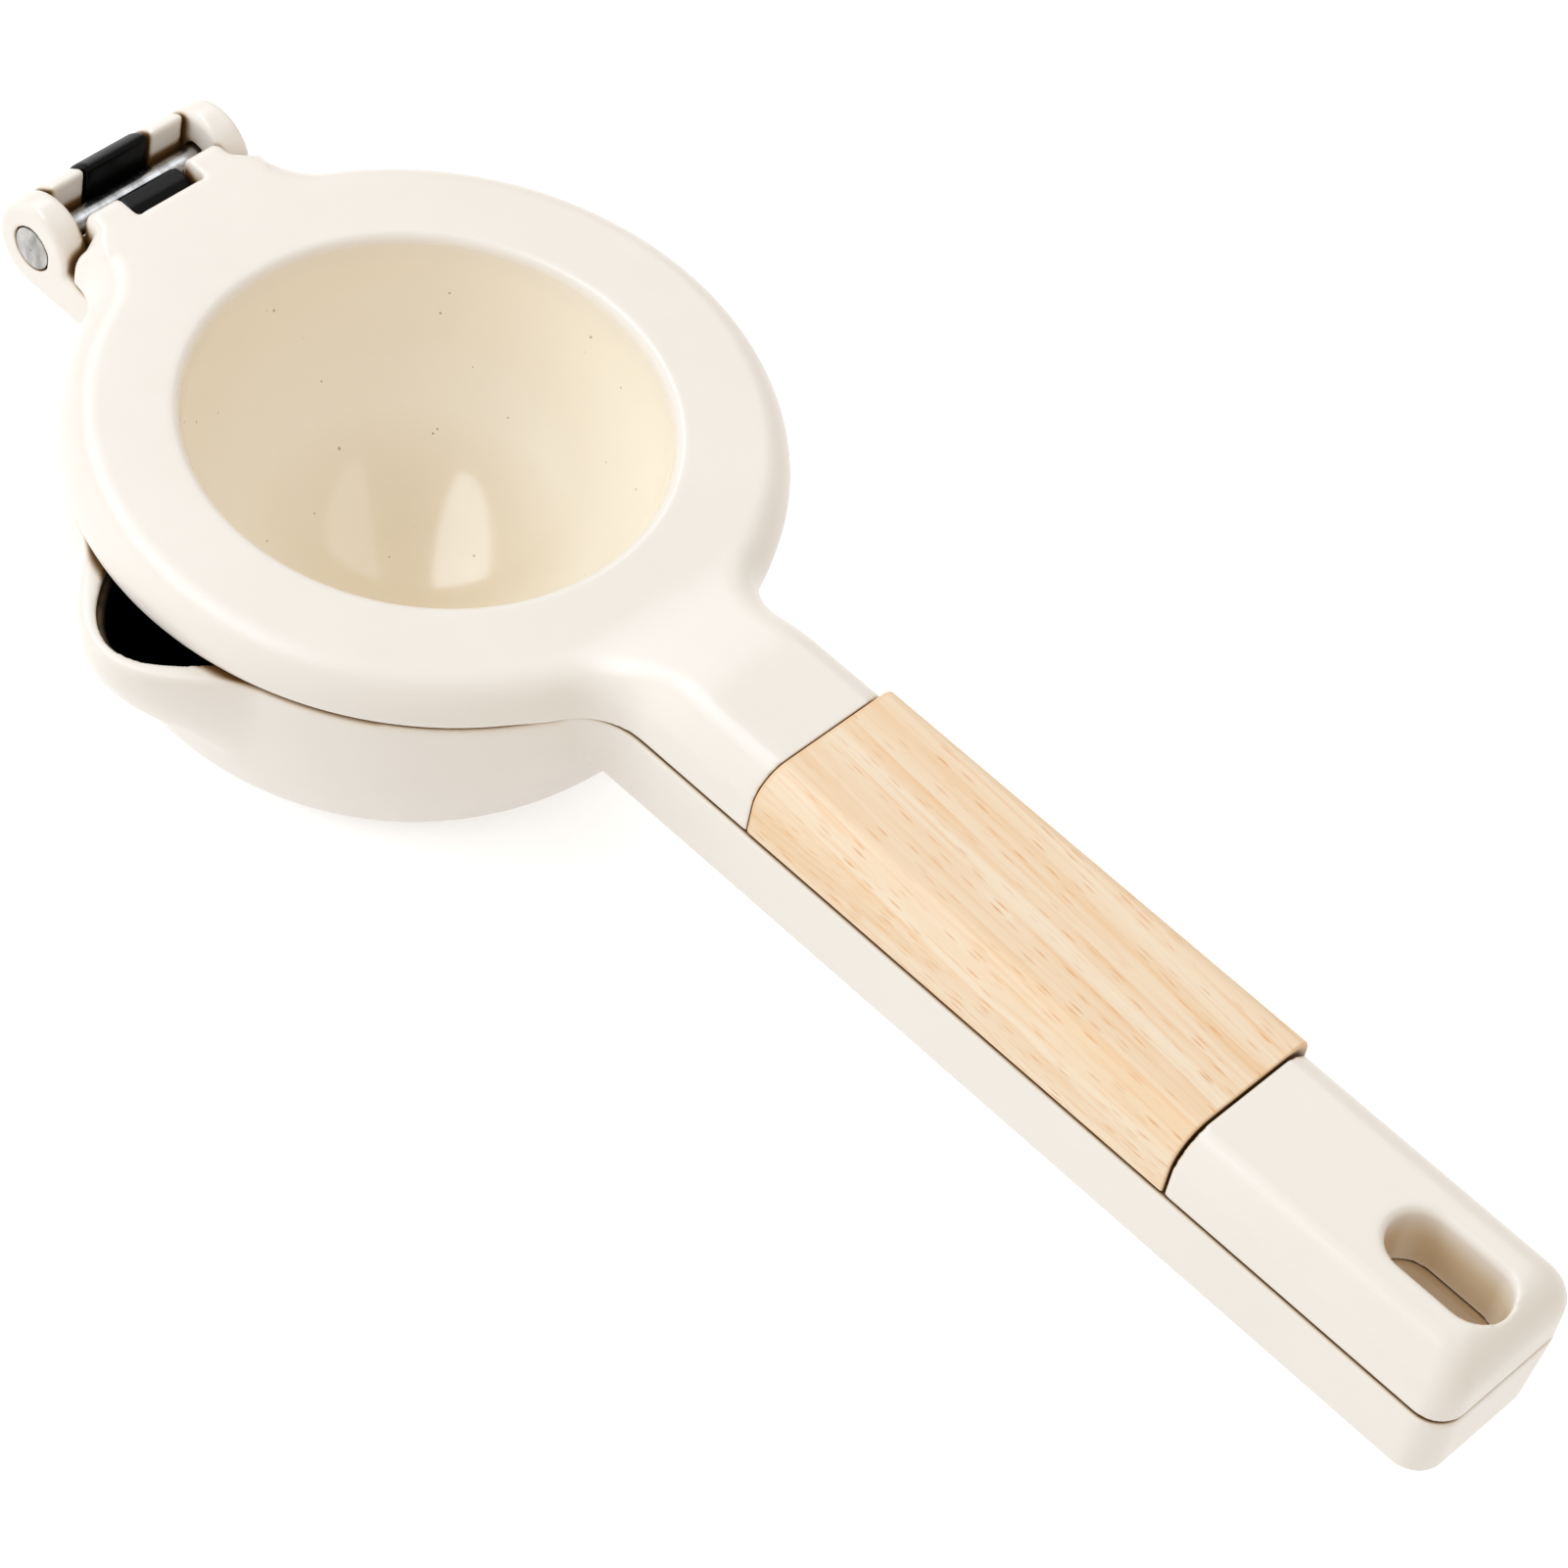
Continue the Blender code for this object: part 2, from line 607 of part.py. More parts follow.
def cup_outer_levels():
    """Radius and height down the cup's outside, from the rim to the base."""
    rim_z = LOWER_TOP_Z - CUP_RIM_ROUND
    levels = [(cup_radius(rim_z) - CUP_RIM_ROUND, LOWER_TOP_Z)]
    for angle in (30, 60):
        turn = math.radians(angle)
        inset = CUP_RIM_ROUND * (1 - math.sin(turn))
        levels.append((cup_radius(rim_z) - inset, rim_z + CUP_RIM_ROUND * math.cos(turn)))
    levels.append((cup_radius(rim_z), rim_z))
    steps = 11
    first = math.asin(CUP_RIM_ROUND / LOWER_TOP_Z)
    for step in range(1, steps + 1):
        turn = first + (math.pi / 2 - first) * step / steps
        z = LOWER_TOP_Z * (1 - math.sin(turn))
        levels.append((cup_radius(max(z, 0.0)), max(z, 0.0)))
    return levels


def cup_inner_levels():
    """Radius and height down the cup's inside: mouth, ledge for the strainer, round bottom."""
    ledge_z = LOWER_TOP_Z - LEDGE_DEPTH
    spread = CUP_MOUTH_RADIUS - CUP_BASE_RADIUS
    depth = LOWER_TOP_Z - CUP_WALL
    start = math.acos((CUP_THROAT_RADIUS - CUP_BASE_RADIUS) / spread)
    low = LOWER_TOP_Z - depth * math.sin(start)
    levels = [(CUP_MOUTH_RADIUS, LOWER_TOP_Z + NEAR_CUT), (CUP_MOUTH_RADIUS, ledge_z)]
    levels += [(CUP_THROAT_RADIUS, ledge_z), (CUP_THROAT_RADIUS, (ledge_z + low) / 2)]
    steps = 8
    for step in range(steps + 1):
        turn = start + (math.pi / 2 - start) * step / steps
        levels.append((CUP_BASE_RADIUS + spread * math.cos(turn), LOWER_TOP_Z - depth * math.sin(turn)))
    return levels


def make_cup_body():
    rings = [cup_ring(r, z, SPOUT_REACH, SPOUT_HALF_ANGLE, SPOUT_TAPER) for r, z in cup_outer_levels()]
    return loft(rings)


def make_cup_hollow():
    reach = SPOUT_REACH + CUP_WALL - SPOUT_WALL
    rings = [cup_ring(r, z, reach, SPOUT_MOUTH_HALF_ANGLE, SPOUT_MOUTH_TAPER) for r, z in cup_inner_levels()]
    return add_tool("cup_hollow", loft(rings))


def bar_half_outline(z, inset):
    """Plan outline of the lower arm's handle at y > 0 and a height, from inside the cup."""
    share = (LOWER_TOP_Z - z) / BAR_DEPTH
    circle = cup_radius(z) - FIT
    half_width = HANDLE_HALF_WIDTH + BAR_PROUD - BAR_DRAFT * share - inset
    neck_round = NECK_ROUND + (BAR_NECK_ROUND - NECK_ROUND) * share + inset
    neck = blend_centre(half_width, neck_round, circle, 1)
    end = math.degrees(math.atan2(neck[1], neck[0]))
    points = arc((0, 0), circle, BAR_ROOT_ANGLE, end, steps=5)[:-1]
    tip_x = HANDLE_TIP_X - BAR_TIP_DRAFT * share - inset - cup_centre_x(z)
    edge = handle_edge(neck, neck_round, half_width, tip_x, HANDLE_CORNER_ROUND)
    return [(x + cup_centre_x(z), y) for x, y in points + edge]


def make_bar():
    bottom_z = SEAM_Z - BAR_DEPTH
    levels = [(SEAM_EDGE_ROUND, LOWER_TOP_Z), (0.0, LOWER_TOP_Z - SEAM_EDGE_ROUND)]
    levels.append((0.0, (LOWER_TOP_Z + bottom_z) / 2))
    for angle in (0, 45, 90):
        turn = math.radians(angle)
        inset = BAR_EDGE_ROUND * (1 - math.cos(turn))
        levels.append((inset, bottom_z + BAR_EDGE_ROUND * (1 - math.sin(turn))))
    rings = [[(x, y, z) for x, y in mirrored(bar_half_outline(z, inset))] for inset, z in levels]
    return add_tool("handle_bar", loft(rings))


def ear_outline():
    """XZ section of an ear: a round end at the pin and an arm that runs back to the cup."""
    top = LOWER_TOP_Z - PIN.z
    start = -math.degrees(math.asin(-top / EAR_RADIUS))
    root = PIN_DISTANCE - CUP_RADIUS + CUP_WALL / 2
    points = arc((0, 0), EAR_RADIUS, start, 270, steps=26)
    return at_pin(points + [(root, -EAR_RADIUS), (root, top)])


def ear_blend_outline():
    """Plan outline of the fillet between an ear's outer face and the cup, at y > 0."""
    circle = CUP_RADIUS - FIT
    inside = circle - CUP_WALL / 2
    centre = blend_centre(EAR_OUTER_Y, EAR_BLEND_ROUND, circle, -1)
    toward = math.atan2(-centre[1], -centre[0])
    points = arc(centre, EAR_BLEND_ROUND, -90, math.degrees(toward), steps=5)
    points.append((-inside * math.cos(toward), -inside * math.sin(toward)))
    floor = EAR_OUTER_Y - EAR_BLEND_OVERLAP
    return points + [(-math.sqrt(inside ** 2 - floor ** 2), floor), (points[0][0], floor)]


def make_ear(side):
    centre_y = side * (EAR_INNER_Y + EAR_OUTER_Y) / 2
    bm = side_prism(ear_outline(), EAR_THICKNESS / 2, EAR_EDGE_ROUND, centre_y)
    return add_tool(f"ear_{'near' if side < 0 else 'far'}", bm)


def make_ear_blend(side):
    outline = [(x, side * y) for x, y in ear_blend_outline()]
    levels = (PIN.z - EAR_RADIUS + EAR_EDGE_ROUND, LOWER_TOP_Z)
    bm = loft([[(x, y, z) for x, y in outline] for z in levels])
    return add_tool(f"ear_blend_{'near' if side < 0 else 'far'}", bm)


def make_lower_arm():
    arm = add_object("lower_arm", make_cup_body(), parts)
    combine(arm, make_bar(), "UNION")
    for side in (-1, 1):
        combine(arm, make_ear(side), "UNION")
        combine(arm, make_ear_blend(side), "UNION")
    length = 2 * EAR_OUTER_Y + NEAR_CUT
    bore = add_tool("pin_bore", cylinder(BORE_RADIUS, length, PIN, (0, 1, 0), segments=24))
    combine(arm, bore, "DIFFERENCE")
    for side in (-1, 1):
        centre = PIN + Vector((0, side * (EAR_OUTER_Y - PIN_HEAD_HEIGHT - FIT + FAR_CUT / 2), 0))
        seat = cylinder(PIN_HEAD_RADIUS + FIT, FAR_CUT, centre, (0, 1, 0), segments=32)
        combine(arm, add_tool(f"pin_seat_{'near' if side < 0 else 'far'}", seat), "DIFFERENCE")
    slot = make_slot_tool("lower_slot", LOWER_TOP_Z, SEAM_Z - BAR_DEPTH, SEAM_EDGE_ROUND)
    combine(arm, slot, "DIFFERENCE")
    combine(arm, make_cup_hollow(), "DIFFERENCE")
    return arm


def make_hinge_pin():
    """A steel pin along Y with a low head at each end, flush with the ears."""
    half = EAR_OUTER_Y
    neck = half - PIN_HEAD_HEIGHT
    profile = [(0.0, half), (PIN_HEAD_RADIUS - PIN_HEAD_EDGE, half), (PIN_HEAD_RADIUS, half - PIN_HEAD_EDGE),
               (PIN_HEAD_RADIUS, neck), (PIN_RADIUS, neck)]
    profile += [(r, -z) for r, z in reversed(profile)]
    pin = turned("hinge_pin", profile, parts, segments=32)
    pin.location = PIN
    pin.rotation_euler = (math.radians(90), 0, 0)
    return pin


def make_hinge_clip():
    return add_object("hinge_clip", side_prism(clip_outline(), CLIP_WIDTH / 2, CLIP_END_ROUND), parts)


def grip_outline():
    """YZ section of the grip: a saddle over the core, its far top edge the sharper one."""
    wide = HANDLE_HALF_WIDTH + GRIP_PROUD
    top = HANDLE_TOP_Z + GRIP_PROUD
    inner = HANDLE_HALF_WIDTH - GRIP_WALL
    roof = HANDLE_TOP_Z - GRIP_WALL
    points = [(wide, UPPER_SOLE_Z)]
    points += arc((wide - GRIP_FAR_ROUND, top - GRIP_FAR_ROUND), GRIP_FAR_ROUND, 0, 90, steps=6)
    points += arc((GRIP_NEAR_ROUND - wide, top - GRIP_NEAR_ROUND), GRIP_NEAR_ROUND, 90, 180, steps=8)
    points += [(-wide, UPPER_SOLE_Z), (-inner, UPPER_SOLE_Z), (-inner, roof), (inner, roof)]
    return points + [(inner, UPPER_SOLE_Z)]


def make_wood_grip(screw_holes):
    start = GRIP_START_X + FIT
    end = GRIP_END_X - FIT
    levels = ((start, GRIP_END_CHAMFER), (start + GRIP_END_CHAMFER, 0.0),
              (end - GRIP_END_CHAMFER, 0.0), (end, GRIP_END_CHAMFER))
    rings = [[(x, y, z) for y, z in offset(grip_outline(), inset)] for x, inset in levels]
    grip = add_object("wood_grip", loft(rings), parts)
    for hole in screw_holes:
        combine(grip, hole, "DIFFERENCE")
    return grip


def make_grip_screw(name, x):
    """A countersunk wood screw, driven up through the core, with a cross recess."""
    screw = turned(name, screw_profile(0.0, 0.0), parts, segments=20)
    screw.location.x = x
    sole = UPPER_SOLE_Z + FIT
    for turn in range(2):
        half = [SCREW_RECESS_WIDTH / 2, SCREW_RECESS_WIDTH / 2]
        half[turn] = SCREW_RECESS_LENGTH / 2
        low = (x - half[0], -half[1], sole - NEAR_CUT)
        high = (x + half[0], half[1], sole + SCREW_RECESS_DEPTH)
        combine(screw, add_tool(f"{name}_recess_{turn + 1}", box(low, high)), "DIFFERENCE")
    return screw


def strainer_profiles():
    """Outer and inner half sections of the strainer's bowl."""
    top = LOWER_TOP_Z - LEDGE_DEPTH + FIT
    bottom = CUP_WALL + STRAINER_CLEARANCE
    outer = bowl_profile(STRAINER_RADIUS, bottom, top, 0.0, steps=7)
    inner = bowl_profile(STRAINER_RADIUS - STRAINER_WALL, bottom + STRAINER_WALL, top, 0.0, steps=7)
    return outer, inner, top


def make_strainer():
    outer, inner, top = strainer_profiles()
    flange = CUP_MOUTH_RADIUS - FIT
    flange_top = top + FLANGE_HEIGHT
    bore = STRAINER_RADIUS - STRAINER_WALL
    rim = [(bore, top), (bore, flange_top), (flange, flange_top), (flange, top)]
    profile = list(reversed(inner[1:])) + rim
    strainer = turned("strainer", profile + outer, parts, segments=42)
    combine(strainer, make_strainer_holes(), "DIFFERENCE")
    return strainer


def add_drain_hole(bm, radius, angle):
    """A short cylinder square to the strainer's round bottom, at a distance from its axis."""
    outer, _, top = strainer_profiles()
    depth = top - outer[-1][1]
    drop = math.sqrt(1 - (radius / STRAINER_RADIUS) ** 2)
    slope = depth * radius / (STRAINER_RADIUS ** 2 * drop)
    out = Vector((math.cos(angle), math.sin(angle), 0.0))
    axis = (Vector((0, 0, 1)) - out * slope).normalized()
    turn = Vector((0, 0, 1)).rotation_difference(axis).to_matrix().to_4x4()
    place = Matrix.Translation(out * radius + Vector((0, 0, top - depth * drop)))
    bmesh.ops.create_cone(bm, cap_ends=True, segments=HOLE_SIDES, radius1=HOLE_RADIUS, radius2=HOLE_RADIUS,
                          depth=2 * (STRAINER_WALL + HOLE_CUT), matrix=place @ turn)


def make_strainer_holes():
    """Drain holes: one in the middle, and rings with more holes the wider they are."""
    bm = bmesh.new()
    add_drain_hole(bm, 0.0, 0.0)
    for ring in range(1, HOLE_RING_COUNT + 1):
        count = HOLES_IN_FIRST_RING * ring
        for number in range(count):
            add_drain_hole(bm, HOLE_RING_SPACING * ring, math.tau * number / count)
    return add_tool("drain_holes", bm)


def make_hinge_empty():
    empty = bpy.data.objects.new("opening_axis", None)
    empty.location = PIN
    parts.objects.link(empty)
    return empty


def hang_on(empty, items):
    """Parent the moving pieces to the empty on the hinge axis, keeping their places."""
    bpy.context.view_layer.update()
    for item in items:
        item.parent = empty
        item.matrix_parent_inverse = empty.matrix_world.inverted()


def main():
    holes = make_screw_holes()
    enamel = make_material("cream_enamel", CREAM, roughness=0.35)
    beech = make_material("beech", BEECH, roughness=0.55)
    steel = make_material("steel", STEEL, roughness=0.3, metallic=1.0)
    black = make_material("black_plastic", BLACK, roughness=0.4)
    lower = make_lower_arm()
    upper = make_upper_arm(holes)
    grip = make_wood_grip(holes)
    pin = make_hinge_pin()
    clip = make_hinge_clip()
    strainer = make_strainer()
    screws = [make_grip_screw(name, x) for name, x in zip(("grip_screw_front", "grip_screw_rear"), SCREW_X)]
    pairs = [(lower, enamel), (upper, enamel), (grip, beech), (pin, steel), (clip, black), (strainer, black)]
    for item, material in pairs + [(screw, steel) for screw in screws]:
        item.data.materials.append(material)
    hang_on(make_hinge_empty(), (upper, grip, clip, *screws))


clear_scene()
parts = make_collection("hand_citrus_juicer")
tools = make_collection("construction_tools")
main()
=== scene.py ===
# Looks of the hand citrus juicer: fine surfaces, finishes, floor, lights and camera.
# Metres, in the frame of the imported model: +X along the handle to its tip, +Z up, spout towards -Y.
import math

import bmesh
import bpy
from mathutils import Matrix, Vector


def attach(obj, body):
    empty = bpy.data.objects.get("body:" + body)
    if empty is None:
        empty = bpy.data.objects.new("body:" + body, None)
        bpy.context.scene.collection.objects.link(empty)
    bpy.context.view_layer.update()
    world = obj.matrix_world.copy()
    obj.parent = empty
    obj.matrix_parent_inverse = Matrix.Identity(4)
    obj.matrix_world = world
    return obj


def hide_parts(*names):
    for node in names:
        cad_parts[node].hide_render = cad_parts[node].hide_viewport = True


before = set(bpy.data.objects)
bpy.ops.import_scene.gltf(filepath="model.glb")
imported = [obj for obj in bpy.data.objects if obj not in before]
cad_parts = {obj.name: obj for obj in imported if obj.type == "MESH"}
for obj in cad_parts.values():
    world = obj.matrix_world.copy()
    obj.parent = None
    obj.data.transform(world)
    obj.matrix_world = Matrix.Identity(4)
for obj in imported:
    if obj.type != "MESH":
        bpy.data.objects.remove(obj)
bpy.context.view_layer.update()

MM = 0.001
X_AXIS = (1.0, 0.0, 0.0)
Y_AXIS = (0.0, 1.0, 0.0)
Z_AXIS = (0.0, 0.0, 1.0)
DETAIL = 4

# Clearances
FIT = 0.3 * MM
SEAM_GAP = 0.18 * MM

# Cup of the lower arm
CUP_HEIGHT = 34.0 * MM
CUP_RADIUS = 41.8 * MM
CUP_WALL = 2.5 * MM
CUP_BASE_RADIUS = 23.0 * MM
CUP_BASE_SHIFT = 2.0 * MM
CUP_RIM_ROUND = 1.1 * MM
LEDGE_WIDTH = 1.2 * MM
LEDGE_DEPTH = 2.1 * MM
# How far below the rim the painted black shade inside the cup starts
CUP_SHADE_DROP = 0.6 * MM

# Pouring spout
SPOUT_REACH = 7.7 * MM
SPOUT_DEPTH = 17.0 * MM
SPOUT_WALL = 1.75 * MM
SPOUT_FULLNESS = 1.95
SPOUT_HALF_ANGLE = math.radians(21.5)
SPOUT_MOUTH_HALF_ANGLE = math.radians(17)
SPOUT_TAPER = 1.75
SPOUT_MOUTH_TAPER = 1.5

# Ring and punch bowl of the upper arm
RING_RADIUS = 42.4 * MM
RING_HEIGHT = 6.0 * MM
RING_EDGE_ROUND = 4.2 * MM
RING_SOLE_ROUND = 1.6 * MM
BOWL_RADIUS = 28.5 * MM
BOWL_DEPTH = 28.0 * MM
BOWL_WALL = 2.4 * MM
BOWL_RIM_ROUND = 1.2 * MM

# Handle, shared by both arms
HANDLE_TIP_X = 165.5 * MM
HANDLE_HALF_WIDTH = 10.9 * MM
HANDLE_HEIGHT = 9.3 * MM
HANDLE_EDGE_ROUND = 5.0 * MM
HANDLE_CORNER_ROUND = 3.8 * MM
NECK_ROUND = 8.5 * MM
RAMP_START_X = 35.0 * MM
RAMP_LENGTH = 18.0 * MM
SEAM_EDGE_ROUND = 0.4 * MM
BAR_DEPTH = 11.3 * MM
BAR_DRAFT = 1.2 * MM
BAR_TIP_DRAFT = 0.5 * MM
BAR_PROUD = 0.25 * MM
BAR_NECK_ROUND = 2.5 * MM
BAR_EDGE_ROUND = 0.8 * MM
BAR_ROOT_ANGLE = 50

# Beech grip and its screws
GRIP_START_X = 63.4 * MM
GRIP_LENGTH = 62.9 * MM
GRIP_WALL = 3.6 * MM
GRIP_NEAR_ROUND = 4.6 * MM
GRIP_FAR_ROUND = 2.2 * MM
GRIP_PROUD = 0.1 * MM
GRIP_END_ROUND = 0.35 * MM
GRIP_FRONT_GAP = 0.06 * MM
GRIP_SOLE_ROUND = 0.7 * MM
SCREW_RADIUS = 1.2 * MM
SCREW_HEAD_RADIUS = 2.4 * MM
SCREW_HEAD_HEIGHT = 1.4 * MM
SCREW_LENGTH = 8.0 * MM
SCREW_POINT_LENGTH = 1.8 * MM
SCREW_HEAD_RIM = 0.2 * MM
SCREW_END_DISTANCE = 12.0 * MM

# Hanging slot
SLOT_CENTRE_FROM_TIP = 10.6 * MM
SLOT_LENGTH = 15.6 * MM
SLOT_WIDTH = 8.0 * MM
SLOT_EDGE_ROUND = 1.0 * MM

# Hinge
PIN_DISTANCE = 51.9 * MM
PIN_RADIUS = 1.6 * MM
PIN_HEAD_RADIUS = 2.75 * MM
PIN_HEAD_HEIGHT = 1.2 * MM
PIN_HEAD_EDGE = 0.2 * MM
PIN_MARK_RADIUS = 0.25 * MM
PIN_DOME = 0.14 * MM
PIN_SEAT_GAP = 0.14 * MM
EAR_RADIUS = 6.0 * MM
EAR_SPAN = 21.5 * MM
EAR_THICKNESS = 4.05 * MM
EAR_EDGE_ROUND = 0.8 * MM
EAR_BLEND_ROUND = 5.0 * MM
EAR_BLEND_OVERLAP = 1.6 * MM
SHOULDER_CLEARANCE = 0.4 * MM
SHOULDER_CORNER_ROUND = 2.0 * MM
SHOULDER_BLEND_ROUND = 7.0 * MM
NOTCH_ROUND = 0.6 * MM
HOOK_MOUTH_FRONT = 3.7 * MM
HOOK_CORNER_ROUND = 1.2 * MM
TONGUE_EDGE_ROUND = 1.0 * MM
LIP_EDGE_ROUND = 0.5 * MM

# Snap clip around the pin
CLIP_WIDTH = 9.6 * MM
CLIP_SIDE_GAP = 0.4 * MM
CLIP_THICKNESS = 1.2 * MM
CLIP_PROUD = 0.1 * MM
CLIP_FRONT_BACK = 2.6 * MM
CLIP_FRONT_REACH = 7.3 * MM
CLIP_TOP = 4.6 * MM
CLIP_SOLE = 1.2 * MM
CLIP_BACK_CHAMFER = 0.8 * MM
CLIP_SLOPE_LENGTH = 2.1 * MM
CLIP_SLOPE_DROP = 1.5 * MM
CLIP_END_ROUND = 0.7 * MM

# Strainer
STRAINER_WALL = 1.2 * MM
STRAINER_SIDE_CLEARANCE = 1.3 * MM
STRAINER_CLEARANCE = 1.4 * MM
FLANGE_HEIGHT = 1.4 * MM
HOLE_RADIUS = 1.7 * MM
HOLE_RING_SPACING = 7.0 * MM
HOLE_RING_COUNT = 3
HOLES_IN_FIRST_RING = 6
HOLE_CUT = 1.8 * MM

# Fineness of the surfaces, and how far their edges soften
ARM_VOXEL = 0.36 * MM
CLIP_VOXEL = 0.14 * MM
STRAINER_VOXEL = 0.32 * MM
SOFTENING = 0.5
SOFTENING_PASSES = 3
MOST_TRIANGLES = 150000
ROUND_STEPS = 192
INSET_STEP = 0.25 * MM
INSET_COUNT = 21
MERGE_DISTANCE = 0.001 * MM
HARD_EDGE = math.radians(30)

# How far a cutter runs past what it cuts
FAR_CUT = 20 * MM
NEAR_CUT = 2 * MM

# Where a finish or its painted shade changes, and how deep its texture is
# Reach of the painted shade in narrow gaps
GAP_SHADE_REACH = 1.5 * MM
# Width of the blend into the painted black shade inside the cup
CUP_SHADE_BLEND = 0.06 * MM
BOWL_COAT_START = 0.6 * MM
BOWL_COAT_FULL = 1.6 * MM
BOWL_COAT_SPREAD = 0.4 * MM
# Height from the bowl's bottom over which painted shade turns it tan
BOWL_SHADE_HEIGHT = 8.0 * MM
# Depths in the slot where its painted shade starts and is full
SLOT_SHADE_START = 0.7 * MM
SLOT_SHADE_FULL = 4.5 * MM
# Painted shade at the grip's ends and far edge: where it starts, and where it is darkest
WOOD_END_PAINTED_SHADE = 0.7 * MM
WOOD_FAR_EDGE_PAINTED_SHADE = 1.2 * MM
WOOD_SHADE_DARKEST = 0.3 * MM
GRAIN_TURN = math.radians(4)
GRAIN_SWAY = 3.0 * MM
GRAIN_SLANT = 0.6
GROWTH_RING = 3.6 * MM
PEEL_RELIEF = 0.006 * MM
GRAIN_RELIEF = 0.015 * MM
STEEL_RELIEF = 0.001 * MM
MOULD_RELIEF = 0.003 * MM

# Colours, linear
CREAM = (0.85, 0.78, 0.705)
# Bowl coat: a glossier enamel, lighter and warmer in part as painted bounce light
BOWL_CREAM_AND_PAINTED_BOUNCE = (0.905, 0.82, 0.68)
# Painted shade towards the bowl's bottom
BOWL_PAINTED_SHADE_TAN = (0.80, 0.68, 0.50)
# Painted shade deep in the hanging slot
SLOT_PAINTED_SHADE = (0.75, 0.58, 0.36)
SPECK = (0.30, 0.20, 0.10)
# Painted shade in narrow gaps: tan for bounced light near their mouth, brown deep inside
GAP_PAINTED_BOUNCE_TAN = (0.66, 0.47, 0.25)
GAP_PAINTED_SHADE_BROWN = (0.15, 0.07, 0.02)
# Painted shade: black standing in for the shadow inside the cup's hollow
CUP_PAINTED_SHADE_BLACK = (0.012, 0.009, 0.007)
BEECH_LIGHT = (0.87, 0.705, 0.52)
BEECH_MIDDLE = (0.83, 0.605, 0.385)
BEECH_DARK = (0.80, 0.475, 0.22)
FLECK = (0.70, 0.31, 0.09)
STEEL = (0.47, 0.455, 0.435)
STEEL_WORN = (0.26, 0.25, 0.235)
BLACK = (0.003, 0.0026, 0.0023)
# Black plastic on upward faces: painted sheen, with a little dust
BLACK_DUST_AND_SHEEN = (0.013, 0.0115, 0.0105)
FLOOR_WHITE = (0.86, 0.86, 0.86)
WHITE = (1.0, 1.0, 1.0)

# Camera
CAMERA_AIM = Vector((61.2, -2.5, 34.0)) * MM
CAMERA_DISTANCE = 610.3 * MM
CAMERA_AZIMUTH = math.radians(34.32)
CAMERA_ELEVATION = math.radians(49.81)
CAMERA_ROLL = math.radians(13.2)
CAMERA_LENS = 126.2
CAMERA_SENSOR = 36.0

# Light: a bright and a dim window above and behind, each with a lamp just below it for its shine,
# wide windows from the spout's side, and the room
WINDOW_HEIGHT = 0.9
WINDOW_SIZE = (0.42, 1.8)
WINDOW_DIRECTION = math.radians(136)
BRIGHT_WINDOW_PLACE = (-0.73, 0.275)
BRIGHT_WINDOW_POWER = 1.6
SHINE_HEIGHT = 0.89
BRIGHT_SHINE_POWER = 7.4
SHINE_TINT = (0.86, 1.0, 1.18)
DIM_WINDOW_PLACE = (-0.2, 0.83)
DIM_WINDOW_POWER = 1.4
DIM_SHINE_POWER = 2.3
SIDE_WINDOW_PLACE = Vector((-0.95, -0.85, 0.7))
SIDE_WINDOW_SIZE = (1.2, 0.9)
SIDE_WINDOW_POWER = 9.5
FRONT_WINDOW_PLACE = Vector((0.55, -1.2, 0.5))
FRONT_WINDOW_SIZE = (1.2, 0.8)
FRONT_WINDOW_POWER = 1.1
WINDOW_TINT = (0.88, 1.0, 1.12)
ROOM_LIGHT = 0.72
ROOM_TINT = (1.04, 1.0, 0.94)
FLOOR_LIFT = 0.5
FLOOR_SIZE = 6.0

# Derived places
SEAM_Z = CUP_HEIGHT
LOWER_TOP_Z = SEAM_Z - SEAM_GAP / 2
UPPER_SOLE_Z = SEAM_Z + SEAM_GAP / 2
RING_TOP_Z = SEAM_Z + RING_HEIGHT
HANDLE_TOP_Z = SEAM_Z + HANDLE_HEIGHT
PIN = Vector((-PIN_DISTANCE, 0.0, SEAM_Z))
BORE_RADIUS = PIN_RADIUS + FIT
EAR_INNER_Y = EAR_SPAN / 2
EAR_OUTER_Y = EAR_INNER_Y + EAR_THICKNESS
HOOK_HALF_WIDTH = EAR_INNER_Y - FIT
SHOULDER_X = PIN.x + EAR_RADIUS + SHOULDER_CLEARANCE
BOWL_BOTTOM_Z = RING_TOP_Z - BOWL_DEPTH
GRIP_END_X = GRIP_START_X + GRIP_LENGTH
CORE_HALF_WIDTH = HANDLE_HALF_WIDTH - GRIP_WALL - FIT
CORE_TOP_Z = HANDLE_TOP_Z - GRIP_WALL - FIT
SLOT_X = HANDLE_TIP_X - SLOT_CENTRE_FROM_TIP
SCREW_X = (GRIP_START_X + SCREW_END_DISTANCE, GRIP_END_X - SCREW_END_DISTANCE)
CUP_MOUTH_RADIUS = CUP_RADIUS - CUP_WALL
CUP_THROAT_RADIUS = CUP_MOUTH_RADIUS - LEDGE_WIDTH
STRAINER_RADIUS = CUP_THROAT_RADIUS - STRAINER_SIDE_CLEARANCE


# Mesh helpers
def new_object(name, data):
    item = bpy.data.objects.new(name, data)
    bpy.context.scene.collection.objects.link(item)
    return item


def add_object(name, bm):
    """An object from a bmesh, with its faces turned outwards."""
    bmesh.ops.recalc_face_normals(bm, faces=bm.faces)
    mesh = bpy.data.meshes.new(name)
    bm.to_mesh(mesh)
    bm.free()
    return new_object(name, mesh)


